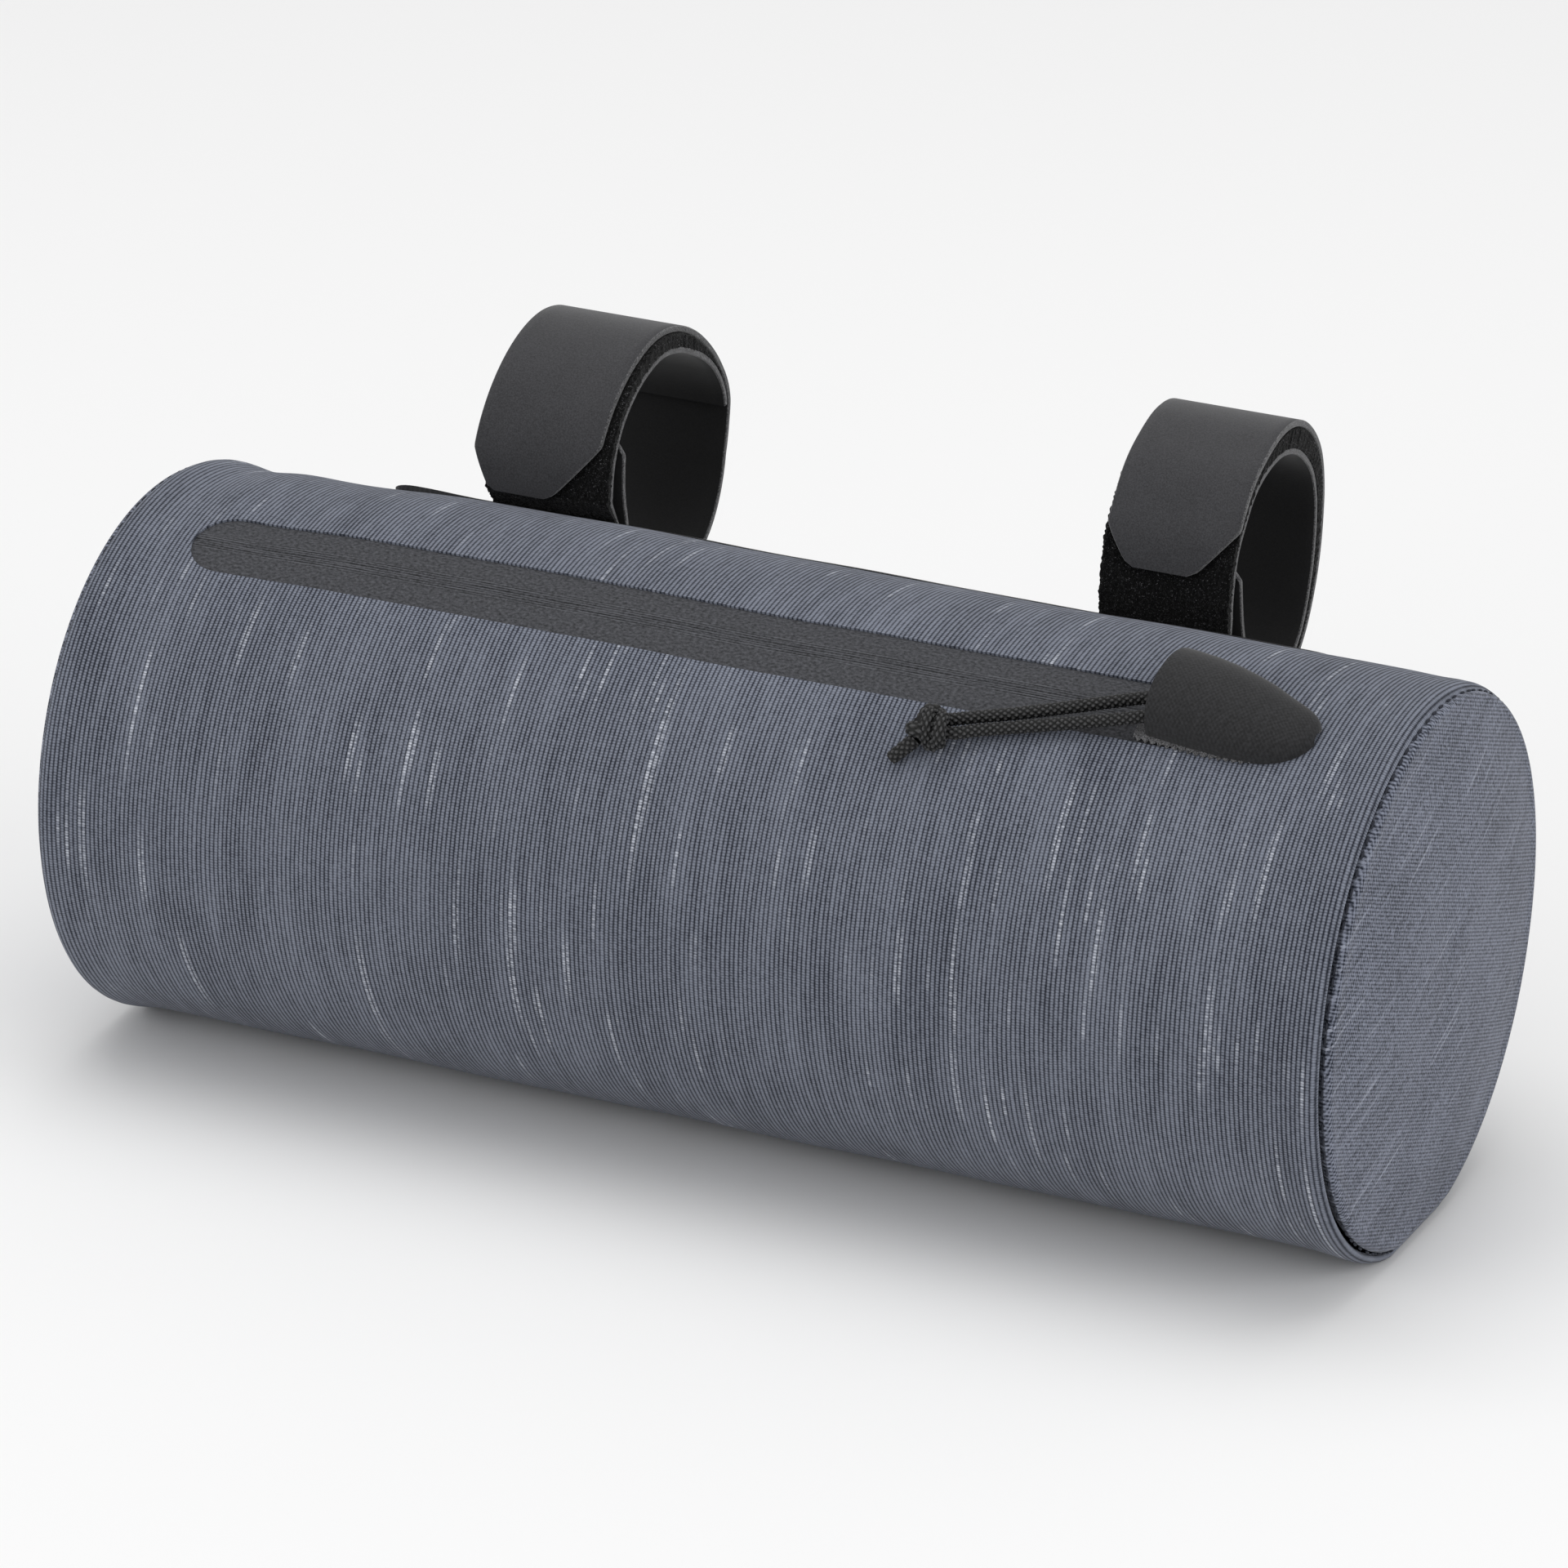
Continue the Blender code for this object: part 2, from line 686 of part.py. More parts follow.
def main():
    """Builds the whole bag."""
    clear_scene()
    parts = collection("handlebar_bag")
    cutters = collection("cutters")
    cutters.hide_render = True

    cloth = material("heathered_cloth", (0.115, 0.132, 0.175), 0.85)
    tape = material("coated_zipper_tape", (0.060, 0.061, 0.064), 0.60)
    softshell = material("softshell", (0.035, 0.035, 0.036), 0.75)
    braid = material("braided_cord", (0.020, 0.020, 0.021), 0.70)
    metal = material("black_zinc", (0.030, 0.030, 0.032), 0.40, 0.8)
    rubber = material("coated_panel", (0.018, 0.018, 0.020), 0.55)
    smooth = material("strap_face", (0.052, 0.052, 0.054), 0.70)
    pile = material("strap_pile", (0.006, 0.006, 0.007), 0.95)

    barrel(parts, cutters, cloth)
    end_cap("end_cap_left", -1, parts, cloth)
    end_cap("end_cap_right", 1, parts, cloth)
    tape_half("zipper_tape_lower", -1, parts, cutters, tape)
    tape_half("zipper_tape_upper", 1, parts, cutters, tape)
    zipper_slider(parts, cutters, metal)
    garage_hood(parts, softshell)
    cord_strand("pull_cord_upper", UPPER_STRAND, parts, braid)
    cord_strand("pull_cord_lower", LOWER_STRAND, parts, braid)
    pull_knot(parts, cutters, braid)
    back_panel(parts, rubber)
    strap(
        "left", LEFT_STRAP_X, LEFT_LOOP,
        (math.radians(126), math.radians(151), math.radians(133)),
        pile_end=12, flap_end=178, tab_end=149, skew=LEFT_FLAP_DRIFT,
        parts=parts, finishes=(smooth, pile),
    )
    strap(
        "right", RIGHT_STRAP_X, RIGHT_LOOP,
        (math.radians(129), math.radians(152), math.radians(145)),
        pile_end=-34, flap_end=168, tab_end=162, skew=RIGHT_FLAP_DRIFT,
        parts=parts, finishes=(smooth, pile),
    )


main()
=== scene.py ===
"""Looks of a bicycle handlebar bag: a heathered cloth barrel with a coated zipper, a softshell
garage with a knotted pull cord, a back panel and two hook-and-loop straps.

Everything is in metres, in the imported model's frame: +X along the barrel, +Y toward the
handlebar, +Z up, and the bag rests at Z = 0. A turn is an angle round the barrel's axis, 0 at
the front and 90 degrees at the top.
"""

import logging
import math
from dataclasses import dataclass
from enum import Enum
from typing import Any, Callable, Sequence

import bmesh
import bpy
import numpy as np
from mathutils import Matrix, Vector


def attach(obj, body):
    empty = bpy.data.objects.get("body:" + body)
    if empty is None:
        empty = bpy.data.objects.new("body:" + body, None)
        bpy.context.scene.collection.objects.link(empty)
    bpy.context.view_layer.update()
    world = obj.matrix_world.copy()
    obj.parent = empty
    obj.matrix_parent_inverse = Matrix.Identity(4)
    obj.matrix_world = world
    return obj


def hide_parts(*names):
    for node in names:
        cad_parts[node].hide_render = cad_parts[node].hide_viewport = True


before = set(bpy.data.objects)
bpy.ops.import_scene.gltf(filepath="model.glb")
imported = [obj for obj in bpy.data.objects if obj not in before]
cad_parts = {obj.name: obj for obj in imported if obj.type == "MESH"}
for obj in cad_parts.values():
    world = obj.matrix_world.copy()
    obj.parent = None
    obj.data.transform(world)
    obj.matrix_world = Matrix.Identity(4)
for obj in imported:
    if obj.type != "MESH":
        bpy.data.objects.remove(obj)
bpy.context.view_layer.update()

log = logging.getLogger("handlebar_bag")

MM = 0.001
Point = tuple[float, float, float]
Row = tuple[float, ...]
Route = list[tuple[np.ndarray, np.ndarray]]


def linear(hex_colour: str) -> tuple[float, float, float, float]:
    """Turns an sRGB hex colour into linear RGBA.

    Args:
        hex_colour: Six hex digits after a hash sign.

    Returns:
        The colour as Blender's sockets take it, with full alpha.
    """
    channels = [int(hex_colour[at : at + 2], 16) / 255 for at in (1, 3, 5)]
    turned = [c / 12.92 if c <= 0.04045 else ((c + 0.055) / 1.055) ** 2.4 for c in channels]
    return (turned[0], turned[1], turned[2], 1.0)


def per(size_mm: float) -> float:
    """Returns a pattern's scale, in repeats for each metre, from its real size in millimetres."""
    return 1 / (size_mm * MM)


class Step(Enum):
    """A step of a finish: its node's type, settings, inputs in use and output, in Blender's names."""

    ADD = ("ShaderNodeMath", {"operation": "ADD"}, (0, 1), 0)
    SUBTRACT = ("ShaderNodeMath", {"operation": "SUBTRACT"}, (0, 1), 0)
    MULTIPLY = ("ShaderNodeMath", {"operation": "MULTIPLY"}, (0, 1), 0)
    MULTIPLY_ADD = ("ShaderNodeMath", {"operation": "MULTIPLY_ADD"}, (0, 1, 2), 0)
    DIVIDE = ("ShaderNodeMath", {"operation": "DIVIDE"}, (0, 1), 0)
    SINE = ("ShaderNodeMath", {"operation": "SINE"}, (0,), 0)
    COSINE = ("ShaderNodeMath", {"operation": "COSINE"}, (0,), 0)
    ABSOLUTE = ("ShaderNodeMath", {"operation": "ABSOLUTE"}, (0,), 0)
    POWER = ("ShaderNodeMath", {"operation": "POWER"}, (0, 1), 0)
    FLOOR = ("ShaderNodeMath", {"operation": "FLOOR"}, (0,), 0)
    FRACT = ("ShaderNodeMath", {"operation": "FRACT"}, (0,), 0)
    ARCTAN2 = ("ShaderNodeMath", {"operation": "ARCTAN2"}, (0, 1), 0)
    MAXIMUM = ("ShaderNodeMath", {"operation": "MAXIMUM"}, (0, 1), 0)
    PLACE = ("ShaderNodeTexCoord", {}, (), "Object")
    SPLIT = ("ShaderNodeSeparateXYZ", {}, (0,), 0)
    JOIN = ("ShaderNodeCombineXYZ", {}, (0, 1, 2), 0)
    # the yarn's height on a braid, which the cord's finish turns into painted shade and painted highlight
    CROWN = ("ShaderNodeAttribute", {"attribute_name": "crown"}, (), "Fac")
    NOISE = ("ShaderNodeTexNoise", {}, ("Vector", "Scale", "Detail", "Roughness"), "Fac")
    LOT = ("ShaderNodeTexWhiteNoise", {"noise_dimensions": "3D"}, ("Vector",), "Value")
    RAMP = ("ShaderNodeMapRange", {"interpolation_type": "SMOOTHSTEP"}, (0, 1, 2, 3, 4), 0)
    MIX = ("ShaderNodeMix", {"data_type": "RGBA"}, (0, 6, 7), 2)
    RELIEF = ("ShaderNodeBump", {}, ("Height", "Distance", "Strength"), 0)


class Finish:
    """A material under construction: its tree and its Principled shader."""

    def __init__(self, name: str, **sockets: float) -> None:
        """Starts a material.

        Args:
            name: The material's name.
            sockets: Values of the Principled shader's sockets, with underscores for spaces.
        """
        self.material = bpy.data.materials.new(name)
        self.material.use_nodes = True
        self.tree = self.material.node_tree
        self.shader = self.tree.nodes["Principled BSDF"]
        for key, value in sockets.items():
            self.shader.inputs[key.replace("_", " ")].default_value = value

    def add(self, step: Step, *values: Any) -> bpy.types.NodeSocket:
        """Adds a node with its settings and links.

        Args:
            step: What the node does.
            values: Sockets to link or values to set, in the order of the step's inputs.

        Returns:
            The node's output.
        """
        kind, settings, inputs, output = step.value
        node = self.tree.nodes.new(kind)
        for name, value in settings.items():
            setattr(node, name, value)
        for key, value in zip(inputs, values):
            if isinstance(value, bpy.types.NodeSocket):
                self.tree.links.new(value, node.inputs[key])
            else:
                node.inputs[key].default_value = value
        return node.outputs[output]

    def axes(self) -> tuple[Any, Any, Any, Any]:
        """Returns the shaded point in the model's frame, whole and as its X, Y and Z."""
        place = self.add(Step.PLACE)
        return (place, *self.add(Step.SPLIT, place).node.outputs)

    def arc(self, y: Any, z: Any) -> bpy.types.NodeSocket:
        """Returns how far round the barrel a point lies, measured on the cloth.

        Args:
            y: The point's Y.
            z: The point's Z.

        Returns:
            The distance from the barrel's top, less than 0 toward the front.
        """
        turn = self.add(Step.ARCTAN2, y, self.add(Step.SUBTRACT, z, FORM.axis_height))
        return self.add(Step.MULTIPLY, turn, FORM.radius)

    def shift(self, pattern: Any, weight: float, level: Any) -> bpy.types.NodeSocket:
        """Returns a level moved up or down by a pattern.

        Args:
            pattern: A pattern from 0 to 1 that is 0.5 on average.
            weight: How strongly it counts.
            level: The level without it.

        Returns:
            The new level.
        """
        return self.add(Step.MULTIPLY_ADD, self.add(Step.SUBTRACT, pattern, 0.5), weight, level)

    def done(
        self, colour: Any, height: Any = None, depth_mm: float = 0.0, strength: float = 0.0
    ) -> bpy.types.Material:
        """Ends the material with its colour and relief.

        Args:
            colour: The surface's colour.
            height: The relief's height from 0 to 1, or none for no relief.
            depth_mm: What a height of 1 stands for, in millimetres.
            strength: How strongly the relief shows.

        Returns:
            The material.
        """
        if height is not None:
            relief = self.add(Step.RELIEF, height, depth_mm * MM, strength)
            self.tree.links.new(relief, self.shader.inputs["Normal"])
        self.tree.links.new(colour, self.shader.inputs["Base Color"])
        return self.material


class Side(Enum):
    """An end of the bag, by its sign along X."""

    LEFT = -1
    RIGHT = 1

    @property
    def word(self) -> str:
        """The side's name as the pieces' names hold it."""
        return self.name.lower()


@dataclass(frozen=True)
class BagForm:
    """The barrel's sizes, shared by all that lies on it."""

    radius: float = 0.0553
    length: float = 0.2684
    bottom_flat: float = 0.0015
    panel_flat: float = 0.0012
    panel_flat_turn: float = math.radians(139.0)
    zip_turn: float = math.radians(67.8)
    zip_width: float = 0.0160
    zip_start: float = -0.1172
    zip_end: float = 0.1140
    rim_flare: float = 0.00070
    rim_reach: float = 0.0045
    softness: float = 0.00028
    # where the flat under the panel fades into the round rims, and over how much
    flat_reach: float = 0.106
    flat_fade: float = 0.018
    seam_turn: float = math.radians(105.0)
    # x, reach along x, turn in degrees, depth: shallow dents in the cloth
    dents: tuple[Row, ...] = (
        (-0.1060, 0.0190, 104.0, 0.0014),
        (-0.1225, 0.0062, 106.0, 0.0012),
        (-0.1350, 0.0080, 100.0, 0.0018),
        (0.1345, 0.0085, 108.0, 0.0012),
        (0.0300, 0.0400, 112.0, 0.0003),
    )

    @property
    def axis_height(self) -> float:
        """Height of the barrel's axis over the floor."""
        return self.radius - self.bottom_flat

    def outline(self, turn: Any, inset: Any = 0.0) -> Any:
        """Returns the radius at a turn: round, with a flat below and one under the panel.

        Args:
            turn: Angles round the axis.
            inset: How far in from the cloth's face.

        Returns:
            The radius at each turn.
        """
        radius = self.radius - inset + 0.0 * turn
        for depth, centre in ((self.bottom_flat, -math.pi / 2), (self.panel_flat, self.panel_flat_turn)):
            facing = np.cos(turn - centre)
            flat = (self.radius - depth - inset) / np.where(facing > 0.5, facing, 1.0)
            radius = np.where(facing > 0.5, np.minimum(radius, flat), radius)
        return radius

    def soft(self, x: Any, turn: Any, inset: Any = 0.0) -> Any:
        """Returns the outline with the cloth's slow waves, dents and slightly flared rims.

        Args:
            x: Places along the barrel.
            turn: Angles round the axis.
            inset: How far in from the cloth's face.

        Returns:
            The radius at each place.
        """
        waves = (
            0.50 * np.sin(2 * math.pi * x / 0.113 + 1.3) * np.cos(2 * turn + 0.4)
            + 0.30 * np.sin(2 * math.pi * x / 0.061 + 2 * turn + 2.1)
            + 0.20 * np.cos(2 * math.pi * x / 0.037 - 3 * turn)
        )
        edge = self.length / 2 - np.abs(x)
        flare = np.exp(-(((edge - 0.003) / self.rim_reach) ** 2))
        rounding = np.clip((np.abs(x) - self.flat_reach) / self.flat_fade, 0.0, 1.0) * (np.sin(turn) > 0)
        radius = self.outline(turn, inset)
        radius = radius + rounding * (self.radius - inset - radius)
        radius = radius + self.softness * waves * (1 - flare) + self.rim_flare * flare
        for at, reach, centre, depth in self.dents:
            facing = np.clip(np.cos(turn - math.radians(centre)), 0.0, 1.0) ** 3
            radius = radius - depth * facing * np.exp(-(((x - at) / reach) ** 2))
        return radius

    def snug(self, turn: Any) -> Any:
        """Returns how deep a cap's seam lies, as a share: less so at its upper rear."""
        return 1 - 0.60 * np.clip(np.cos(turn - self.seam_turn), 0.0, 1.0) ** 1.5

    def place(self, x: Any, turn: Any, radius: Any) -> np.ndarray:
        """Returns points at turns and radii round the axis, in the model's frame."""
        x, turn, radius = np.broadcast_arrays(x, turn, radius)
        return np.stack([x, -radius * np.cos(turn), self.axis_height + radius * np.sin(turn)], axis=-1)


FORM = BagForm()


def grid_faces(rows: int, columns: int, wrap: bool = False, flip: bool = False) -> np.ndarray:
    """Returns the faces of a grid of points.

    Args:
        rows: Number of rows of points.
        columns: Number of points in a row.
        wrap: Whether each row closes on itself.
        flip: Whether the faces turn the other way.

    Returns:
        Four corner indices for each face.
    """
    across = columns if wrap else columns - 1
    first = np.arange(rows - 1)[:, None] * columns + np.arange(across)[None, :]
    beside = np.arange(rows - 1)[:, None] * columns + (np.arange(across)[None, :] + 1) % columns
    faces = np.stack([first, beside, beside + columns, first + columns], axis=-1).reshape(-1, 4)
    return faces[:, ::-1] if flip else faces


def make_piece(
    name: str,
    points: np.ndarray,
    faces: Sequence[Sequence[int]] | np.ndarray,
    finishes: Sequence[bpy.types.Material],
    slots: np.ndarray | None = None,
    sharp_degrees: float = 40.0,
    crown: np.ndarray | None = None,
) -> bpy.types.Object:
    """Makes a smooth-shaded mesh object.

    Args:
        name: The piece's name.
        points: Points in the model's frame, in an array of any leading shape.
        faces: Corner indices of each face.
        finishes: The materials, by slot.
        slots: The slot of each face, or none for all in the first.
        sharp_degrees: Edges that bend more than this stay sharp.
        crown: How high each point lies on its yarn, which a braid's finish turns into painted shade and
            painted highlight.

    Returns:
        The object, linked to the scene.
    """
    data = bpy.data.meshes.new(name)
    corners = faces.tolist() if isinstance(faces, np.ndarray) else faces
    data.from_pydata(np.asarray(points).reshape(-1, 3).tolist(), [], [tuple(f) for f in corners])
    for finish in finishes:
        data.materials.append(finish)
    if slots is not None:
        data.polygons.foreach_set("material_index", np.asarray(slots, dtype=np.int32))
    if crown is not None:
        layer = data.attributes.new("crown", "FLOAT", "POINT")
        layer.data.foreach_set("value", np.asarray(crown, dtype=np.float32).ravel())
    data.shade_smooth()
    data.set_sharp_from_angle(angle=math.radians(sharp_degrees))
    piece = bpy.data.objects.new(name, data)
    bpy.context.scene.collection.objects.link(piece)
    return piece


def thicken(piece: bpy.types.Object, thickness: float, outward: float = -1.0) -> None:
    """Gives a piece's skin its thickness.

    Args:
        piece: The piece, as an open skin.
        thickness: How thick it becomes.
        outward: 1 to grow outward, -1 to grow inward.
    """
    thick = piece.modifiers.new("thickness", "SOLIDIFY")
    thick.thickness = thickness
    thick.offset = outward


def settle(piece: bpy.types.Object, sharp_degrees: float = 40.0) -> bpy.types.Object:
    """Applies a piece's modifiers, so that its mesh is final.

    Args:
        piece: The piece.
        sharp_degrees: Edges that bend more than this stay sharp.

    Returns:
        The piece.
    """
    graph = bpy.context.evaluated_depsgraph_get()
    data = bpy.data.meshes.new_from_object(piece.evaluated_get(graph))
    data.name = piece.name
    old = piece.data
    piece.modifiers.clear()
    piece.data = data
    bpy.data.meshes.remove(old)
    data.shade_smooth()
    data.set_sharp_from_angle(angle=math.radians(sharp_degrees))
    return piece


def dress(piece: bpy.types.Object, slot: str, *nodes: str) -> bpy.types.Object:
    """Seats a piece on the bag's body and hides what it stands for.

    Args:
        piece: The piece.
        slot: The material slot of the record that its finish belongs to; not used.
        nodes: The nodes that it stands for.

    Returns:
        The piece.
    """
    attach(piece, "root")
    if nodes:
        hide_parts(*nodes)
    log.info("%s: %d faces", piece.name, len(piece.data.polygons))
    return piece


def smooth_route(points: Sequence[np.ndarray], spacing: float) -> np.ndarray:
    """Returns points about a spacing apart on a smooth curve through the given points.

    Args:
        points: Points of the route.
        spacing: Distance between the points returned.

    Returns:
        The points, one for each row.
    """
    points = [np.asarray(p, dtype=float) for p in points]
    ends = [2 * points[0] - points[1], *points, 2 * points[-1] - points[-2]]
    route = [points[0]]
    for before, start, end, after in zip(ends, ends[1:], ends[2:], ends[3:]):
        steps = max(1, round(float(np.linalg.norm(end - start)) / spacing))
        for step in range(1, steps + 1):
            t = step / steps
            route.append(
                0.5
                * (
                    2 * start
                    + (end - before) * t
                    + (2 * before - 5 * start + 4 * end - after) * t**2
                    + (3 * start - before - 3 * end + after) * t**3
                )
            )
    return np.array(route)


# Finishes


@dataclass(frozen=True)
class RibbedHeather:
    """Ribbed polyester cloth of the barrel, woven from dyed yarns."""

    # It gives the eye cords round the barrel, crossed by fine warp threads, blue-grey from near
    # and far, with pale slubs that run along single cords and break up.
    rib_mm: float = 0.93
    # the real warp is finer; it is drawn as coarse as it needs to show
    warp_mm: float = 0.56
    wander_mm: float = 18.18
    uneven_mm: float = 16.0
    tone_mm: tuple[float, float] = (16.667, 71.429)
    speck_mm: float = 0.7143
    cluster_mm: tuple[float, float] = (8.3333, 83.333)
    yarn_mm: float = 24.0
    tick_mm: float = 0.8
    valley: str = "#191d28"
    crest: str = "#7e8390"
    slub: str = "#c9cdd7"
    # x, first and last turn in degrees, strength: the palest yarns
    slubs: tuple[Row, ...] = (
        (-0.0068, 8, 61, 1.0), (-0.0059, 20, 48, 0.7), (-0.0965, 37, 56, 0.7),
        (-0.0680, 20, 35, 0.8), (-0.0504, 17, 33, 0.8), (-0.0315, -28, -1, 0.9),
        (-0.0643, -40, -9, 0.8), (0.0764, 24, 53, 0.8), (0.0926, 28, 48, 0.7),
        (0.0880, 5, 28, 0.9), (0.1175, 25, 51, 0.8), (-0.1235, -15, 12, 0.7),
        (-0.1044, -47, -17, 0.8), (0.0289, 16, 32, 0.6), (0.0748, -40, -10, 0.6),
        (0.1114, -6, 19, 0.7), (0.0493, -3, 15, 0.8), (-0.0430, -13, 5, 0.7),
        (-0.0843, 36, 52, 0.7), (0.0603, 17, 34, 0.6), (-0.0195, -17, 0, 0.8),
        (0.0604, -30, -5, 0.6), (-0.1107, -15, 4, 0.7), (0.0072, 34, 48, 0.7),
        (0.1228, 53, 71, 0.6), (-0.0270, 98, 112, 0.7), (0.0420, 92, 104, 0.6),
        (-0.0760, 88, 103, 0.6),
    )

    def material(self) -> bpy.types.Material:
        """Builds the material.

        Returns:
            The material.
        """
        s = Finish("ribbed_polyester_weave", Roughness=0.85, Sheen_Weight=0.08,
                   Sheen_Roughness=0.5, Specular_IOR_Level=0.2)
        place, x, y, z = s.axes()
        arc = s.arc(y, z)
        wander = s.add(Step.NOISE, s.add(Step.JOIN, x, s.add(Step.MULTIPLY, arc, 0.25)),
                       per(self.wander_mm), 1.0)
        drift = s.add(Step.MULTIPLY, s.add(Step.SUBTRACT, wander, 0.5), 0.9 * MM)
        cord_at = s.add(Step.DIVIDE, s.add(Step.ADD, x, drift), self.rib_mm * MM)
        cord = s.add(Step.FLOOR, cord_at)
        crown = s.add(Step.SINE, s.add(Step.MULTIPLY, s.add(Step.FRACT, cord_at), math.pi))
        phase = s.add(Step.LOT, s.add(Step.JOIN, cord, 6.0, 2.0))
        across = s.add(Step.MULTIPLY_ADD, arc, per(self.warp_mm), phase)
        warp = s.add(Step.ABSOLUTE, s.add(Step.SINE, s.add(Step.MULTIPLY, across, math.pi)))
        weave = s.add(Step.MULTIPLY, crown, s.add(Step.MULTIPLY_ADD, warp, 0.55, 0.45))

        own = s.add(Step.LOT, s.add(Step.JOIN, cord, 3.0, 5.0))
        uneven = s.add(
            Step.NOISE,
            s.add(Step.JOIN, s.add(Step.MULTIPLY, own, 40.0),
                  s.add(Step.MULTIPLY, arc, per(self.uneven_mm))),
            1.0, 3.0, 0.55,
        )
        along, round_it = self.tone_mm
        tone = s.add(
            Step.NOISE,
            s.add(Step.JOIN, s.add(Step.MULTIPLY, x, per(along)),
                  s.add(Step.MULTIPLY, arc, per(round_it))),
            1.0, 3.0, 0.6,
        )
        speck = s.add(Step.NOISE, place, per(self.speck_mm), 2.0, 0.7)
        level = s.shift(speck, 0.70, s.shift(tone, 0.50, s.shift(uneven, 0.55, weave)))
        base = s.add(
            Step.MIX, s.add(Step.RAMP, level, -0.10, 1.10), linear(self.valley), linear(self.crest)
        )
        pale = self.pale(s, x, arc, cord_at, own)
        ticks = s.add(Step.MULTIPLY, s.add(Step.POWER, warp, 0.7), s.add(Step.POWER, crown, 1.2))
        tick_at = s.add(Step.JOIN, s.add(Step.MULTIPLY, cord, 3.7),
                        s.add(Step.MULTIPLY, arc, per(self.tick_mm)))
        broken = s.add(Step.RAMP, s.add(Step.NOISE, tick_at, 1.0, 1.0), 0.38, 0.62, 0.12, 1.0)
        pale = s.add(Step.MULTIPLY, s.add(Step.MULTIPLY, pale, ticks), broken)
        return s.done(s.add(Step.MIX, pale, base, linear(self.slub)), level, 0.16, 0.55)

    def pale(self, s: Finish, x: Any, arc: Any, cord_at: Any, own: Any) -> Any:
        """Adds where the pale slubs lie: many at random and the palest from the table.

        Args:
            s: The material.
            x: X of the shaded point.
            arc: How far round the barrel it lies.
            cord_at: X counted in cords.
            own: A random number of the cord's own.

        Returns:
            How pale the yarn is, from 0 to 1.
        """
        along, round_it = self.cluster_mm
        cluster = s.add(
            Step.NOISE,
            s.add(Step.JOIN, s.add(Step.MULTIPLY, x, per(along)),
                  s.add(Step.MULTIPLY, arc, per(round_it)), 7.0),
            1.0, 1.0,
        )
        yarn = s.add(
            Step.NOISE,
            s.add(Step.JOIN, s.add(Step.MULTIPLY, own, 97.0),
                  s.add(Step.MULTIPLY, arc, per(self.yarn_mm)), 2.0),
            1.0, 2.0, 0.4,
        )
        cord = s.add(Step.FLOOR, cord_at)
        rare = s.add(Step.MULTIPLY_ADD, s.add(Step.LOT, s.add(Step.JOIN, cord, 8.0, 1.0)), 0.30, yarn)
        pale = s.add(Step.RAMP, s.add(Step.MULTIPLY_ADD, cluster, 0.40, rare), 1.03, 1.24)
        for at, first, last, strength in self.slubs:
            middle = math.radians((first + last) / 2 - 90) * FORM.radius
            half = math.radians((last - first) / 2) * FORM.radius
            aside = s.add(Step.ABSOLUTE, s.add(Step.SUBTRACT, cord_at, at * per(self.rib_mm)))
            away = s.add(Step.ABSOLUTE, s.add(Step.SUBTRACT, arc, middle))
            here = s.add(
                Step.MULTIPLY,
                s.add(Step.RAMP, aside, 0.85, 0.55),
                s.add(Step.RAMP, away, 1.1 * half, 0.3 * half, 0.0, 0.9 * strength),
            )
            pale = s.add(Step.MAXIMUM, pale, here)
        return pale


@dataclass(frozen=True)
class PlainHeather:
    """Plain polyester cloth of the end caps, woven from the barrel's yarns."""

    # It gives the eye a fine grid with pale yarns that cross the cap at a slant.
    thread_mm: float = 0.50
    slant_degrees: float = 24.0
    yarn_mm: float = 38.462
    tone_mm: float = 22.222
    speck_mm: float = 0.66667
    valley: str = "#151a26"
    crest: str = "#7f8493"
    slub: str = "#a4a8b4"

    def material(self) -> bpy.types.Material:
        """Builds the material.

        Returns:
            The material.
        """
        s = Finish("plain_polyester_weave", Roughness=0.85, Sheen_Weight=0.15,
                   Sheen_Roughness=0.45, Specular_IOR_Level=0.2)
        place, _, y, z = s.axes()
        slant = math.radians(self.slant_degrees)
        weft = s.add(Step.MULTIPLY_ADD, y, math.cos(slant), s.add(Step.MULTIPLY, z, math.sin(slant)))
        warp = s.add(Step.MULTIPLY_ADD, y, -math.sin(slant), s.add(Step.MULTIPLY, z, math.cos(slant)))
        rate = math.pi * per(self.thread_mm)
        grid = s.add(Step.MULTIPLY, s.add(Step.SINE, s.add(Step.MULTIPLY, weft, rate)),
                     s.add(Step.SINE, s.add(Step.MULTIPLY, warp, rate)))
        checks = s.add(Step.MULTIPLY_ADD, grid, 0.5, 0.5)
        thread = s.add(Step.FLOOR, s.add(Step.DIVIDE, warp, self.thread_mm * MM))
        own = s.add(Step.LOT, s.add(Step.JOIN, thread, 1.0, 2.0))
        yarn = s.add(
            Step.NOISE,
            s.add(Step.JOIN, s.add(Step.MULTIPLY, own, 80.0),
                  s.add(Step.MULTIPLY, weft, per(self.yarn_mm))),
            1.0, 2.0,
        )
        tone = s.add(Step.NOISE, place, per(self.tone_mm), 3.0)
        speck = s.add(Step.NOISE, place, per(self.speck_mm), 2.0, 0.7)
        level = s.shift(yarn, 0.7, s.add(Step.MULTIPLY, checks, 1.1))
        level = s.shift(speck, 2.0, s.shift(tone, 0.4, level))
        base = s.add(
            Step.MIX, s.add(Step.RAMP, level, -0.15, 1.20), linear(self.valley), linear(self.crest)
        )
        pale = s.add(Step.MULTIPLY, s.add(Step.RAMP, yarn, 0.62, 0.77),
                     s.add(Step.MULTIPLY_ADD, checks, 0.60, 0.15))
        return s.done(s.add(Step.MIX, pale, base, linear(self.slub)), level, 0.12, 0.5)


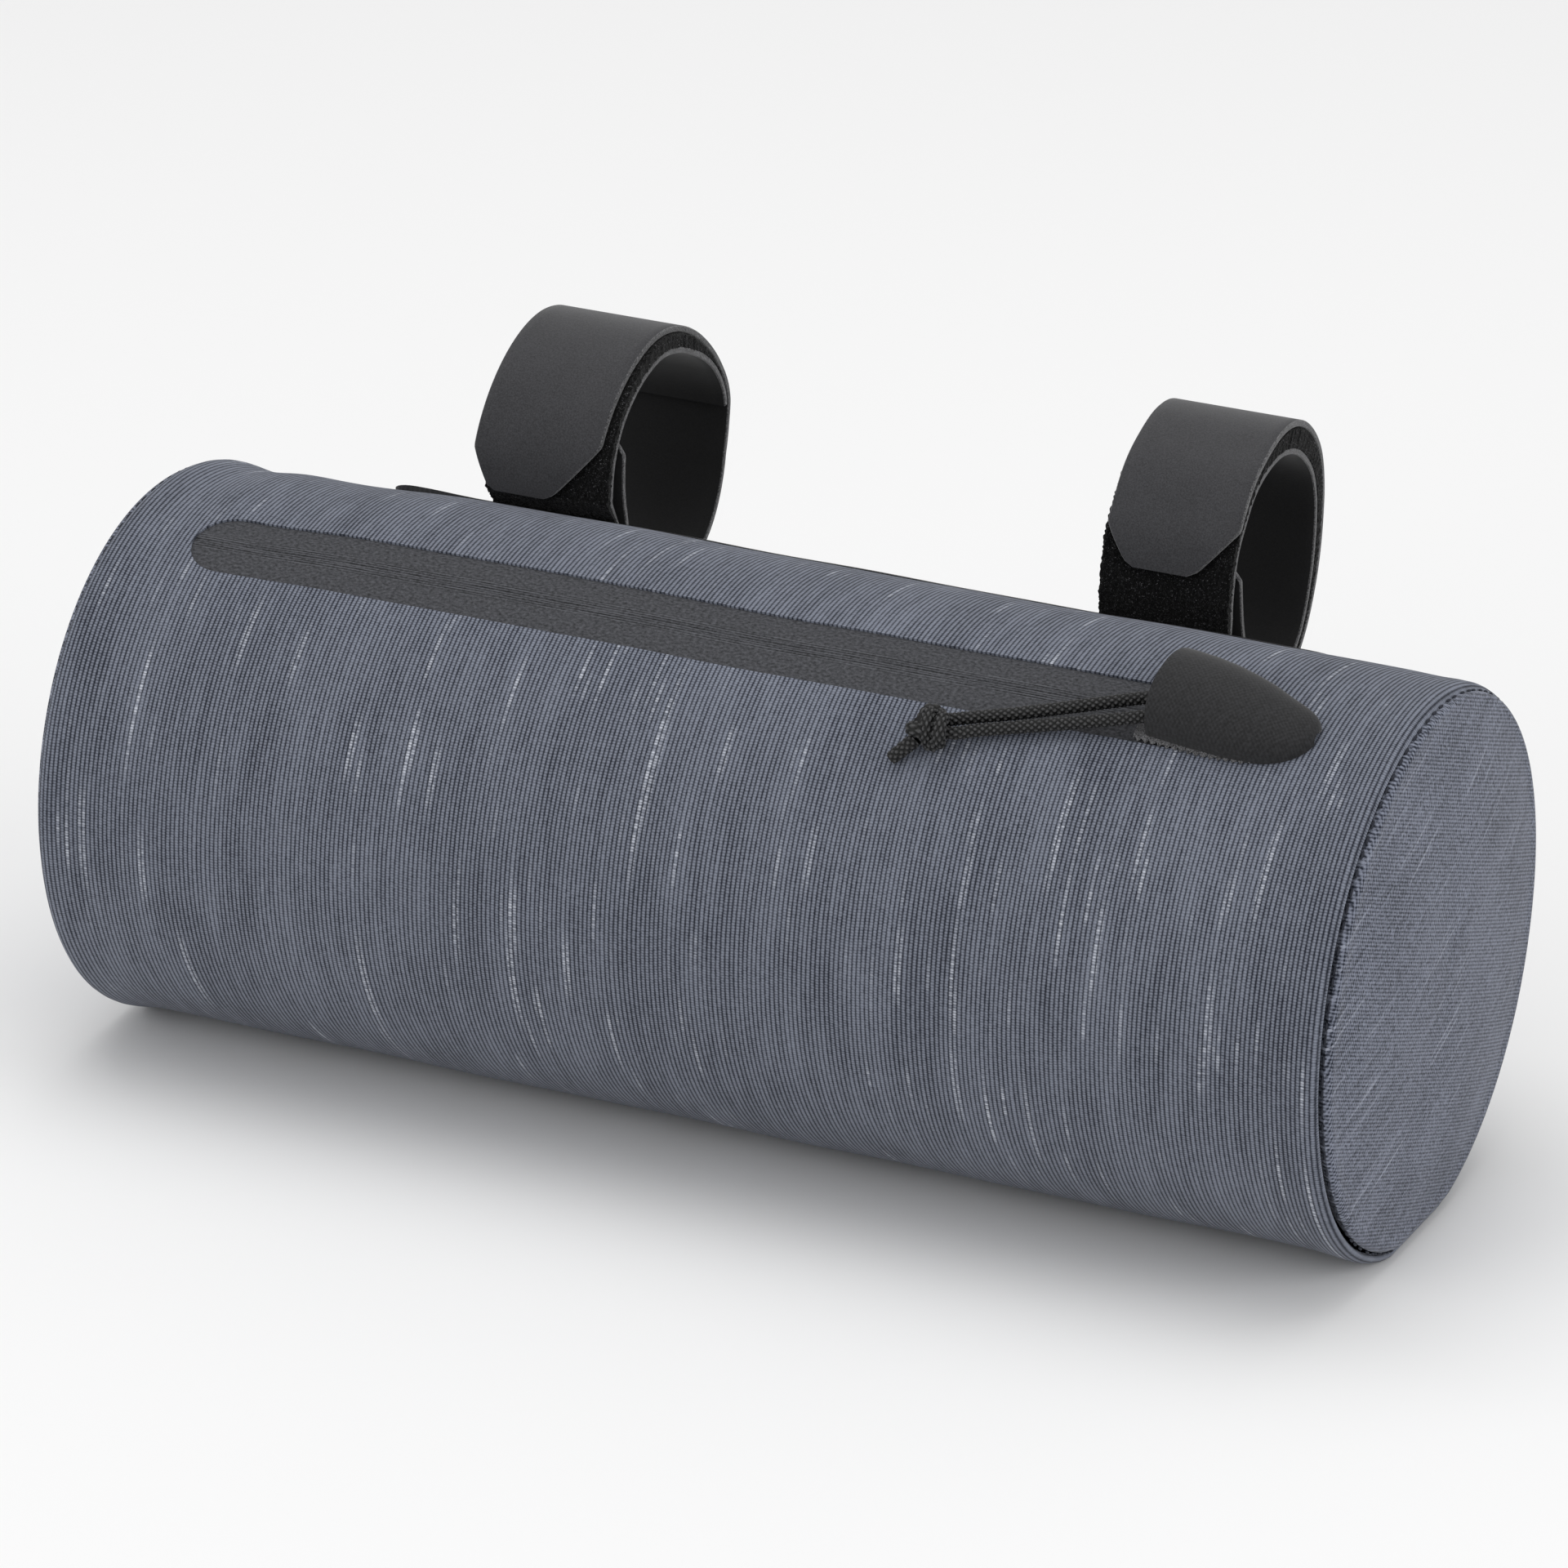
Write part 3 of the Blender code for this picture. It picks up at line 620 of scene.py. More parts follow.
@dataclass(frozen=True)
class CoatedTape:
    """Woven zipper tape laminated with polyurethane."""

    # It gives the eye a matt, rubbery face with a fine crinkle, and lengthwise lines where the
    # coil lies under it.
    crinkle_mm: float = 0.55
    line_mm: float = 0.62
    line_band_mm: float = 2.6
    breaks_mm: tuple[float, float] = (11.111, 0.33333)
    low: str = "#121315"
    high: str = "#5a5b60"

    def material(self) -> bpy.types.Material:
        """Builds the material.

        Returns:
            The material.
        """
        s = Finish("coated_zipper_tape", Roughness=0.7, Specular_IOR_Level=0.25)
        _, x, y, z = s.axes()
        up = s.add(Step.SUBTRACT, z, FORM.axis_height)
        turn = s.add(Step.ARCTAN2, up, s.add(Step.MULTIPLY, y, -1.0))
        side = s.add(Step.MULTIPLY, s.add(Step.SUBTRACT, turn, FORM.zip_turn), FORM.radius)
        where = s.add(Step.JOIN, s.add(Step.MULTIPLY, x, 0.7), side)
        crinkle = s.add(Step.NOISE, where, per(self.crinkle_mm), 3.0, 0.6)
        fine = s.add(Step.NOISE, where, 5 * per(self.crinkle_mm), 2.0, 0.6)
        lines = s.add(Step.COSINE, s.add(Step.MULTIPLY, side, 2 * math.pi * per(self.line_mm)))
        reach = self.line_band_mm * MM
        band = s.add(Step.RAMP, s.add(Step.ABSOLUTE, side), reach, 0.6 * reach)
        along, over = self.breaks_mm
        breaks = s.add(
            Step.NOISE,
            s.add(Step.JOIN, s.add(Step.MULTIPLY, x, per(along)), s.add(Step.MULTIPLY, side, per(over))),
            1.0, 2.0,
        )
        ridge = s.add(Step.MULTIPLY, s.add(Step.MULTIPLY, lines, band), s.add(Step.RAMP, breaks, 0.3, 0.7))
        height = s.add(Step.MULTIPLY_ADD, ridge, 0.38, s.add(Step.MULTIPLY_ADD, fine, 0.45, crinkle))
        colour = s.add(Step.MIX, s.add(Step.RAMP, height, 0.35, 1.15), linear(self.low), linear(self.high))
        return s.done(colour, height, 0.14, 0.7)


@dataclass(frozen=True)
class Softshell:
    """Stretch polyester softshell of the garage, woven and cut raw."""

    # It gives the eye matt charcoal with a tight weave. The real threads are finer; they are
    # drawn as coarse as they need to show.
    thread_mm: float = 0.44
    speck_mm: float = 0.625
    low: str = "#151516"
    high: str = "#2c2c2e"

    def material(self) -> bpy.types.Material:
        """Builds the material.

        Returns:
            The material.
        """
        s = Finish("woven_softshell", Roughness=0.78, Sheen_Weight=0.15, Specular_IOR_Level=0.25)
        place, x, y, z = s.axes()
        rate = math.pi * per(self.thread_mm)
        weave = s.add(Step.MULTIPLY, s.add(Step.SINE, s.add(Step.MULTIPLY, x, rate)),
                      s.add(Step.SINE, s.add(Step.MULTIPLY, s.arc(y, z), rate)))
        speck = s.add(Step.NOISE, place, per(self.speck_mm), 2.0, 0.7)
        level = s.add(Step.MULTIPLY_ADD, weave, 0.14, speck)
        colour = s.add(Step.MIX, s.add(Step.RAMP, level, 0.2, 0.85), linear(self.low), linear(self.high))
        return s.done(colour, level, 0.04, 0.45)


@dataclass(frozen=True)
class RawEdge:
    """Knife-cut edge of a foam-backed cloth."""

    low: str
    high: str
    # It gives the eye pale frayed fibres on a dark core, light and fuzzy.
    fibre_mm: float = 0.3

    def material(self) -> bpy.types.Material:
        """Builds the material.

        Returns:
            The material.
        """
        s = Finish("raw_cut_edge", Roughness=0.95, Sheen_Weight=0.3)
        fibre = s.add(Step.NOISE, s.add(Step.PLACE), per(self.fibre_mm), 3.0, 0.7)
        colour = s.add(Step.MIX, s.add(Step.RAMP, fibre, 0.35, 0.68), linear(self.low), linear(self.high))
        return s.done(colour, fibre, 0.2, 0.8)


@dataclass(frozen=True)
class BraidedCord:
    """Polyester cord, braided from black yarns."""

    # It gives the eye near black, with painted shade in the grooves between the yarns and a painted
    # highlight on each yarn's crown.
    fibre_mm: float = 0.38462
    # low is the black yarn deepened to painted shade in the grooves; high is the painted highlight on the
    # crowns
    low: str = "#030303"
    high: str = "#4a4a4b"

    def material(self) -> bpy.types.Material:
        """Builds the material.

        Returns:
            The material.
        """
        s = Finish("braided_polyester", Roughness=0.6, Specular_IOR_Level=0.35)
        fibre = s.add(Step.NOISE, s.add(Step.PLACE), per(self.fibre_mm), 2.0, 0.7)
        # painted shade and highlight: each point's height on its yarn (crown) darkens the grooves and
        # lightens the crowns
        level = s.shift(fibre, 0.9, s.add(Step.CROWN))
        colour = s.add(Step.MIX, s.add(Step.RAMP, level, 0.35, 1.15), linear(self.low), linear(self.high))
        return s.done(colour, fibre, 0.05, 0.5)


@dataclass(frozen=True)
class BandFace:
    """Plain side of a hook-and-loop band, knitted from nylon."""

    # It gives the eye a matt dark grey with a fine speckle.
    name: str = "knitted_nylon_face"
    low: str = "#29292b"
    high: str = "#404043"
    stitch_mm: float = 0.34
    cloud_mm: float = 6.25

    def material(self) -> bpy.types.Material:
        """Builds the material.

        Returns:
            The material.
        """
        s = Finish(self.name, Roughness=0.85, Sheen_Weight=0.2, Specular_IOR_Level=0.25)
        place = s.add(Step.PLACE)
        speck = s.add(Step.NOISE, place, per(self.stitch_mm), 3.0, 0.75)
        level = s.shift(s.add(Step.NOISE, place, per(self.cloud_mm), 2.0), 0.12, speck)
        colour = s.add(Step.MIX, s.add(Step.RAMP, level, 0.25, 0.75), linear(self.low), linear(self.high))
        return s.done(colour, speck, 0.08, 0.6)


@dataclass(frozen=True)
class NapPile:
    """Nylon loop pile of a hook-and-loop band, brushed up."""

    # It gives the eye a deep black with a few loops that catch the light.
    low: str = "#040404"
    high: str = "#19191a"
    glint: str = "#77777a"
    loop_mm: float = 0.5

    def material(self) -> bpy.types.Material:
        """Builds the material.

        Returns:
            The material.
        """
        s = Finish("brushed_loop_pile", Roughness=1.0, Specular_IOR_Level=0.1, Sheen_Weight=0.1)
        place = s.add(Step.PLACE)
        loops = s.add(Step.NOISE, place, per(self.loop_mm), 3.0, 0.7)
        tips = s.add(Step.NOISE, place, 2.2 * per(self.loop_mm), 2.0, 0.8)
        base = s.add(Step.MIX, s.add(Step.RAMP, loops, 0.45, 0.80), linear(self.low), linear(self.high))
        shine = s.add(Step.RAMP, s.add(Step.MULTIPLY_ADD, loops, 0.5, tips), 0.86, 1.02)
        return s.done(s.add(Step.MIX, shine, base, linear(self.glint)), loops, 0.5, 0.9)


@dataclass(frozen=True)
class CoatedPanel:
    """Cloth of the back panel, coated with embossed rubber."""

    # It gives the eye a matt black with a faint diamond emboss.
    emboss_mm: float = 1.1
    speck_mm: float = 1.1111
    low: str = "#161618"
    high: str = "#2a2a2d"

    def material(self) -> bpy.types.Material:
        """Builds the material.

        Returns:
            The material.
        """
        s = Finish("coated_panel_cloth", Roughness=0.55, Specular_IOR_Level=0.35)
        place, x, y, z = s.axes()
        arc = s.arc(y, z)
        rate = math.pi * per(self.emboss_mm)
        first = s.add(Step.SINE, s.add(Step.MULTIPLY, s.add(Step.ADD, x, arc), rate))
        second = s.add(Step.SINE, s.add(Step.MULTIPLY, s.add(Step.SUBTRACT, x, arc), rate))
        level = s.add(Step.MULTIPLY_ADD, s.add(Step.MULTIPLY, first, second), 0.3,
                      s.add(Step.NOISE, place, per(self.speck_mm)))
        colour = s.add(Step.MIX, s.add(Step.RAMP, level, 0.2, 0.8), linear(self.low), linear(self.high))
        return s.done(colour, level, 0.1, 0.5)


@dataclass(frozen=True)
class BlackZinc:
    """Zinc of the slider, die-cast and plated black."""

    # It gives the eye a satin black metal, slightly rubbed.
    rub_mm: float = 1.4286
    low: str = "#18181a"
    high: str = "#2e2e31"

    def material(self) -> bpy.types.Material:
        """Builds the material.

        Returns:
            The material.
        """
        s = Finish("die_cast_zinc", Roughness=0.35, Metallic=0.9)
        rub = s.add(Step.NOISE, s.add(Step.PLACE), per(self.rub_mm), 3.0)
        colour = s.add(Step.MIX, s.add(Step.RAMP, rub, 0.4, 0.7), linear(self.low), linear(self.high))
        return s.done(colour, rub, 0.03, 0.4)


@dataclass(frozen=True)
class StitchThread:
    """Polyester sewing thread, twisted and dyed dark."""

    # It gives the eye short dark dashes in the crease of a seam.
    twist_mm: float = 0.41667
    low: str = "#0f1118"
    high: str = "#2c303c"

    def material(self) -> bpy.types.Material:
        """Builds the material.

        Returns:
            The material.
        """
        s = Finish("twisted_sewing_thread", Roughness=0.7, Specular_IOR_Level=0.3)
        twist = s.add(Step.NOISE, s.add(Step.PLACE), per(self.twist_mm), 2.0)
        return s.done(s.add(Step.MIX, twist, linear(self.low), linear(self.high)))


@dataclass(frozen=True)
class StudioPaper:
    """Seamless background paper, uncoated."""

    # It gives the eye an even, matt, pale ground.
    colour: str = "#f4f4f4"

    def material(self) -> bpy.types.Material:
        """Builds the material.

        Returns:
            The material.
        """
        s = Finish("seamless_paper", Roughness=1.0, Specular_IOR_Level=0.0)
        s.shader.inputs["Base Color"].default_value = linear(self.colour)
        return s.material


# Sub-assemblies


@dataclass
class StudioCamera:
    """A long lens that looks down on the bag from its right front, as fitted to the bag's edges."""

    azimuth: float = math.radians(24.763)
    elevation: float = math.radians(22.553)
    roll: float = math.radians(0.894)
    distance: float = 1.725524
    aim: tuple[float, float] = (0.000073, 0.011928)
    focal_share: float = 10940.84 / 1920
    sensor_mm: float = 36.0

    def build(self) -> bpy.types.Object:
        """Makes the camera and sets it as the scene's.

        Returns:
            The camera.
        """
        a, e, r = self.azimuth, self.elevation, self.roll
        back = Vector((math.sin(a) * math.cos(e), -math.cos(a) * math.cos(e), math.sin(e)))
        right = Vector((math.cos(a), math.sin(a), 0.0))
        up = back.cross(right)
        place = right * self.aim[0] + up * self.aim[1] + back * self.distance
        place.z += FORM.axis_height
        turned_right = right * math.cos(r) + up * math.sin(r)
        turned_up = up * math.cos(r) - right * math.sin(r)
        lens = bpy.data.cameras.new("camera")
        lens.sensor_width = self.sensor_mm
        lens.lens = self.sensor_mm * self.focal_share
        lens.clip_start, lens.clip_end = 0.05, 50.0
        camera = bpy.data.objects.new("camera", lens)
        axes = Matrix((turned_right, turned_up, back)).transposed().to_4x4()
        camera.matrix_world = Matrix.Translation(place) @ axes
        bpy.context.scene.collection.objects.link(camera)
        bpy.context.scene.camera = camera
        return camera


@dataclass
class StudioSet:
    """Pale paper floor, an even sky and soft boxes above and in front."""

    floor_reach: float = 12.0
    floor_drop: float = 0.0002
    sky: float = 0.56
    boxes: tuple[tuple[str, Point, Point, float, float], ...] = (
        ("overhead_box", (-0.10, 0.10, 1.9), (0.0, 0.0, 0.0), 1.6, 15.5),
        ("front_box", (-1.1, -1.8, 0.9), (0.0, 0.0, 0.05), 1.4, 10.5),
        ("side_box", (2.1, -0.3, 0.9), (0.1, 0.0, 0.05), 1.3, 14.0),
    )

    def build(self) -> None:
        """Makes the floor, the sky and the lights."""
        bpy.context.scene.view_settings.view_transform = "Standard"
        half = self.floor_reach / 2
        corners = [(x * half, y * half, -self.floor_drop) for x, y in ((-1, -1), (1, -1), (1, 1), (-1, 1))]
        floor = make_piece("studio_floor", np.array(corners), [(0, 1, 2, 3)], [StudioPaper().material()])
        world = bpy.data.worlds.new("studio_sky")
        world.use_nodes = True
        sky = world.node_tree.nodes["Background"]
        sky.inputs["Color"].default_value = (1.0, 1.0, 1.0, 1.0)
        sky.inputs["Strength"].default_value = self.sky
        bpy.context.scene.world = world
        for name, place, target, size, power in self.boxes:
            box = bpy.data.lights.new(name, "AREA")
            box.shape = "SQUARE"
            box.size = size
            box.energy = power
            light = bpy.data.objects.new(name, box)
            light.location = place
            light.rotation_mode = "QUATERNION"
            light.rotation_quaternion = (Vector(target) - Vector(place)).to_track_quat("-Z", "Y")
            bpy.context.scene.collection.objects.link(light)


@dataclass
class BraidedTube:
    """A cord with its braid as real relief: two families of yarns that pass over each other."""

    diameter: float
    cells_round: int = 6
    cell_mm: float = 1.45
    relief: float = 0.00038
    sides: int = 40
    step: float = 0.00014

    def relief_at(self, round_share: np.ndarray, along: np.ndarray) -> np.ndarray:
        """Returns the braid's height at places round and along the cord.

        Args:
            round_share: How far round, as a share of the turn.
            along: How far along, in metres.

        Returns:
            Heights from 0 to 1.
        """
        run = along / (self.cell_mm * MM)
        u = round_share * self.cells_round / 2 + run / 2
        v = round_share * self.cells_round / 2 - run / 2
        over = (np.floor(u * 2) + np.floor(v * 2)) % 2
        across = np.where(over > 0.5, (u * 2) % 1.0, (v * 2) % 1.0)
        length = np.where(over > 0.5, (v * 2) % 1.0, (u * 2) % 1.0)
        return np.sin(math.pi * across) ** 0.7 * (0.35 + 0.65 * np.sin(math.pi * length))

    def build(
        self, name: str, path: np.ndarray, finish: bpy.types.Material, taper: float = 1.0
    ) -> bpy.types.Object:
        """Makes the cord along a path.

        Args:
            name: The piece's name.
            path: Centre line points.
            finish: The cord's material.
            taper: Diameter at the far end as a share of that at the start.

        Returns:
            The cord.
        """
        fine = smooth_route(list(path), self.step)
        tangents = np.gradient(fine, axis=0)
        tangents /= np.linalg.norm(tangents, axis=1)[:, None]
        normal = np.cross(tangents[0], [0.0, 0.0, 1.0])
        normal /= np.linalg.norm(normal)
        normals = []
        for tangent in tangents:
            normal = normal - tangent * (normal @ tangent)
            normal /= np.linalg.norm(normal)
            normals.append(normal)
        sideways = np.array(normals)
        upward = np.cross(tangents, sideways)
        along = np.concatenate([[0.0], np.cumsum(np.linalg.norm(np.diff(fine, axis=0), axis=1))])
        share = np.arange(self.sides) / self.sides
        height = self.relief_at(share[None, :], along[:, None])
        thin = 1 - (1 - taper) * (along / along[-1])[:, None] ** 3
        radius = (self.diameter / 2 - self.relief + 1.4 * self.relief * height) * thin
        angle = 2 * math.pi * share[None, :]
        ring = (
            fine[:, None, :]
            + (radius * np.cos(angle))[..., None] * sideways[:, None, :]
            + (radius * np.sin(angle))[..., None] * upward[:, None, :]
        )
        points = np.concatenate([ring.reshape(-1, 3), fine[:1], fine[-1:]])
        crown = np.concatenate([height.ravel(), [0.0, 0.0]])
        count = len(fine) * self.sides
        around = np.arange(self.sides)
        faces = grid_faces(len(fine), self.sides, wrap=True).tolist()
        faces += [(count, (k + 1) % self.sides, k) for k in around]
        last = count - self.sides
        faces += [(count + 1, last + k, last + (k + 1) % self.sides) for k in around]
        return make_piece(name, points, faces, [finish], crown=crown, sharp_degrees=60)


@dataclass
class PullCord:
    """The zipper's pull: two strands out of the garage, tied in an overhand knot with a tail."""

    diameter: float = 0.0024
    slider_x: float = 0.0985
    # x from the slider, turn in degrees, height of the centre line above the cloth
    upper: tuple[Row, ...] = (
        (-0.0065, 68.6, 0.0042),
        (-0.0105, 68.4, 0.0040),
        (-0.0139, 67.8, 0.0036),
        (-0.0185, 66.4, 0.0031),
        (-0.0270, 63.2, 0.0026),
        (-0.0382, 59.1, 0.0022),
        (-0.0435, 57.0, 0.0026),
        (-0.0477, 55.0, 0.0034),
        (-0.0508, 53.6, 0.0040),
    )
    lower: tuple[Row, ...] = (
        (-0.0065, 65.0, 0.0042),
        (-0.0095, 64.5, 0.0040),
        (-0.0130, 63.3, 0.0034),
        (-0.0180, 61.8, 0.0029),
        (-0.0256, 59.6, 0.0024),
        (-0.0374, 56.1, 0.0021),
        (-0.0430, 54.0, 0.0026),
        (-0.0470, 51.9, 0.0036),
        (-0.0504, 51.6, 0.0038),
    )
    knot_x: float = 0.0466
    knot_turn: float = math.radians(51.8)
    knot_height: float = 0.0040
    knot_cord: float = 0.0029
    knot_loop: float = 0.0031
    knot_depth: float = 0.0017
    wrap_radius: float = 0.0027
    wrap_length: float = 0.0042
    wrap_turns: float = 1.55
    core_radius: float = 0.0030
    tail_x: float = 0.0402
    tail_turn: float = math.radians(45.4)
    tail_diameter: float = 0.0028

    def route(self, rows: tuple[Row, ...]) -> np.ndarray:
        """Returns a strand's centre line.

        Args:
            rows: Its rows of the table.

        Returns:
            Points from the slider to the knot.
        """
        points = [
            FORM.place(self.slider_x + ahead, math.radians(turn), FORM.radius + height)
            for ahead, turn, height in rows
        ]
        return smooth_route(points, 0.0012)

    def knot_path(self) -> np.ndarray:
        """Draws the knot's loops: an overhand knot that points to the tail.

        Returns:
            The knot's centre line.
        """
        centre = FORM.place(self.knot_x, self.knot_turn, FORM.radius + self.knot_height)
        out = np.array([0.0, -math.cos(self.knot_turn), math.sin(self.knot_turn)])
        tail = FORM.place(self.tail_x, self.tail_turn, FORM.radius + self.tail_diameter / 2)
        ahead = centre - tail
        ahead = ahead - out * (ahead @ out)
        ahead /= np.linalg.norm(ahead)
        beside = np.cross(out, ahead)
        turns = np.linspace(0.0, 2 * math.pi, 60)
        path = []
        for t in turns:
            along = (math.sin(t) + 2 * math.sin(2 * t)) / 3
            across = (math.cos(t) - 2 * math.cos(2 * t)) / 3
            loop = (ahead * along + beside * across) * self.knot_loop
            path.append(centre + loop - out * self.knot_depth * math.sin(3 * t))
        return np.array(path)

    def wrap_path(self) -> np.ndarray:
        """Draws the turns that lie round the knot's neck.

        Returns:
            Their centre line.
        """
        centre = FORM.place(self.knot_x, self.knot_turn, FORM.radius + self.knot_height)
        out = np.array([0.0, -math.cos(self.knot_turn), math.sin(self.knot_turn)])
        ahead = np.array([1.0, 0.0, 0.0])
        beside = np.cross(out, ahead)
        path = []
        last = 2 * math.pi * self.wrap_turns
        for t in np.linspace(-0.3, last, 60):
            along = -0.0012 + self.wrap_length * t / last
            reach = self.wrap_radius + 0.0003 * math.sin(1.7 * t)
            round_it = (beside * math.cos(t) + out * math.sin(t)) * reach
            path.append(centre + ahead * (along + 0.0009 * math.sin(t)) + round_it)
        return np.array(path)

    def build(self) -> None:
        """Makes both strands, the knot and the tail."""
        finish = BraidedCord().material()
        cord = BraidedTube(self.diameter)
        knot = BraidedTube(self.knot_cord).build("cord_knot", self.knot_path(), finish)
        tail_start = FORM.place(self.knot_x - 0.002, self.knot_turn - 0.04, FORM.radius + 0.0034)
        tail_middle = FORM.place(self.knot_x - 0.0045, self.knot_turn - 0.08, FORM.radius + 0.0022)
        tail_end = FORM.place(self.tail_x, self.tail_turn, FORM.radius + self.tail_diameter / 2)
        tail = BraidedTube(self.tail_diameter).build(
            "cord_tail", smooth_route([tail_start, tail_middle, tail_end], 0.001), finish, taper=0.86
        )
        wrap = BraidedTube(self.diameter).build("cord_knot_wrap", self.wrap_path(), finish)
        dress(wrap, "cord_braid")
        points, faces = self.core()
        # a low yarn height everywhere makes the finish paint the knot's packed core in the grooves' painted
        # shade
        core = make_piece("cord_knot_core", points, faces, [finish], crown=np.full(len(points), 0.2))
        dress(core, "cord_braid")
        dress(knot, "cord_braid", "pull_knot")
        dress(tail, "cord_braid")
        for name, rows, node in (
            ("cord_upper", self.upper, "pull_cord_upper"),
            ("cord_lower", self.lower, "pull_cord_lower"),
        ):
            path = self.route(rows)
            strand = dress(cord.build(name, path, finish), "cord_braid", node)

    def core(self) -> tuple[np.ndarray, list[tuple[int, ...]]]:
        """Draws the yarn packed in the knot's middle, as a lumpy ball.

        Returns:
            Its points and faces.
        """
        ball = bmesh.new()
        bmesh.ops.create_icosphere(ball, subdivisions=3, radius=self.core_radius)
        centre = FORM.place(self.knot_x, self.knot_turn, FORM.radius + self.knot_height)
        points = np.array([list(v.co) for v in ball.verts])
        x, y, z = points.T
        lumps = np.sin(x * 2100 + 0.6) * np.sin(y * 1900) * np.sin(z * 2300 + 1.1)
        points = points * (1 + 0.14 * lumps)[:, None] + centre
        faces = [tuple(v.index for v in f.verts) for f in ball.faces]
        ball.free()
        return points, faces


@dataclass
class BarrelShell:
    """The cloth tube: soft cylinder with rolled ends and the zipper's long window."""

    cloth: float = 0.0009
    around: int = 210
    spacing: float = 0.0017
    # x inward from the end, inset from the face: the rim rolls in to the cap's seam
    rim: tuple[tuple[float, float], ...] = (
        (0.0030, 0.0000), (0.0021, 0.0001), (0.0014, 0.0003), (0.0009, 0.0007), (0.0007, 0.0012),
        (0.0010, 0.0017), (0.0018, 0.0021),
    )

    def window_half_turn(self, x: np.ndarray) -> np.ndarray:
        """Returns half the window's opening at places along the barrel.

        Args:
            x: The places.

        Returns:
            The half opening at each, as a turn.
        """
        half = FORM.zip_width / 2
        into = np.minimum(x - FORM.zip_start, FORM.zip_end - x)
        wide = np.sqrt(np.clip(half**2 - np.clip(half - into, 0.0, half) ** 2, 0.0, None))
        return np.where(into > 0, wide, 0.0) / FORM.radius

    def stations(self) -> tuple[np.ndarray, np.ndarray]:
        """Lays out the stations along the barrel, closer where the window and the rims curve.

        Returns:
            Their X and their insets.
        """
        half = FORM.length / 2
        plain = np.arange(-half + 0.0045, half - 0.0044, self.spacing)
        curve = FORM.zip_width / 2 * (1 - np.cos(np.linspace(0.0, math.pi / 2, 14)))
        marks = np.concatenate([FORM.zip_start + curve, FORM.zip_end - curve])
        plain = plain[np.min(np.abs(plain[:, None] - marks[None, :]), axis=1) > 0.0006]
        middle = np.sort(np.concatenate([plain, marks]))
        left = [(-half + inward, inset) for inward, inset in reversed(self.rim)]
        right = [(half - inward, inset) for inward, inset in self.rim]
        table = np.array(left + [(x, 0.0) for x in middle] + right)
        return table[:, 0], table[:, 1]

    def build(self) -> bpy.types.Object:
        """Makes the shell.

        Returns:
            The shell.
        """
        x, inset = self.stations()
        share = np.linspace(0.0, 1.0, self.around)
        opening = self.window_half_turn(x)
        turn = FORM.zip_turn + opening[:, None] + share[None, :] * (2 * math.pi - 2 * opening[:, None])
        radius = FORM.soft(x[:, None], turn, inset[:, None])
        points = FORM.place(x[:, None], turn, radius)
        points[..., 2] = np.maximum(points[..., 2], 0.0)
        shell = make_piece(
            "barrel_cloth", points, grid_faces(len(x), self.around, flip=True), [RibbedHeather().material()]
        )
        mesh = bmesh.new()
        mesh.from_mesh(shell.data)
        bmesh.ops.remove_doubles(mesh, verts=mesh.verts, dist=1e-6)
        mesh.to_mesh(shell.data)
        mesh.free()
        thicken(shell, self.cloth)
        return dress(settle(shell), "barrel_cloth", "barrel")


@dataclass
class EndCap:
    """A round cap sewn into the barrel's end: rolled at the seam and softly domed."""

    side: Side
    bulge: float = 0.0032
    around: int = 144
    cloth: float = 0.0008
    # from the seam inward: x beyond the barrel's end, inset from the barrel's face
    roll: tuple[tuple[float, float], ...] = (
        (-0.0022, 0.0034), (-0.0012, 0.0027), (-0.0002, 0.0024), (0.0005, 0.0028), (0.0009, 0.0036),
        (0.0010, 0.0046), (0.0009, 0.0060),
    )
    inner_shares: tuple[float, ...] = (0.97, 0.92, 0.86, 0.78, 0.70, 0.60, 0.50, 0.40, 0.30, 0.20, 0.10)

    def build(self) -> bpy.types.Object:
        """Makes the cap.

        Returns:
            The cap.
        """
        name, sign = self.side.word, self.side.value
        turn = np.linspace(0.0, 2 * math.pi, self.around, endpoint=False)
        half = FORM.length / 2
        rows = []
        snug = FORM.snug(turn)
        for out, inset in self.roll:
            rows.append(
                FORM.place(sign * (half + out), turn, FORM.soft(sign * half, turn, inset * snug))
            )
        last_out, last_inset = self.roll[-1]
        face = FORM.soft(sign * half, turn, last_inset * snug)
        for share in self.inner_shares:
            out = last_out + self.bulge * (1 - (share / 0.99) ** 2.6)
            wave = 0.00025 * np.sin(3 * turn + 1.1) * (share * (1 - share)) * 4
            rows.append(FORM.place(sign * (half + out + wave), turn, share * face))
        centre = FORM.place(sign * (half + last_out + self.bulge), 0.0, 0.0)
        points = np.concatenate([np.array(rows).reshape(-1, 3), centre[None, :]])
        faces = grid_faces(len(rows), self.around, wrap=True, flip=self.side is Side.RIGHT).tolist()
        last = (len(rows) - 1) * self.around
        middle = len(rows) * self.around
        for k in range(self.around):
            ends = (last + k, last + (k + 1) % self.around)
            faces.append((*(ends[::-1] if self.side is Side.RIGHT else ends), middle))
        cap = make_piece(f"cap_{name}", points, faces, [PlainHeather().material()])
        thicken(cap, self.cloth)
        return dress(settle(cap), "cap_cloth", f"end_cap_{name}")


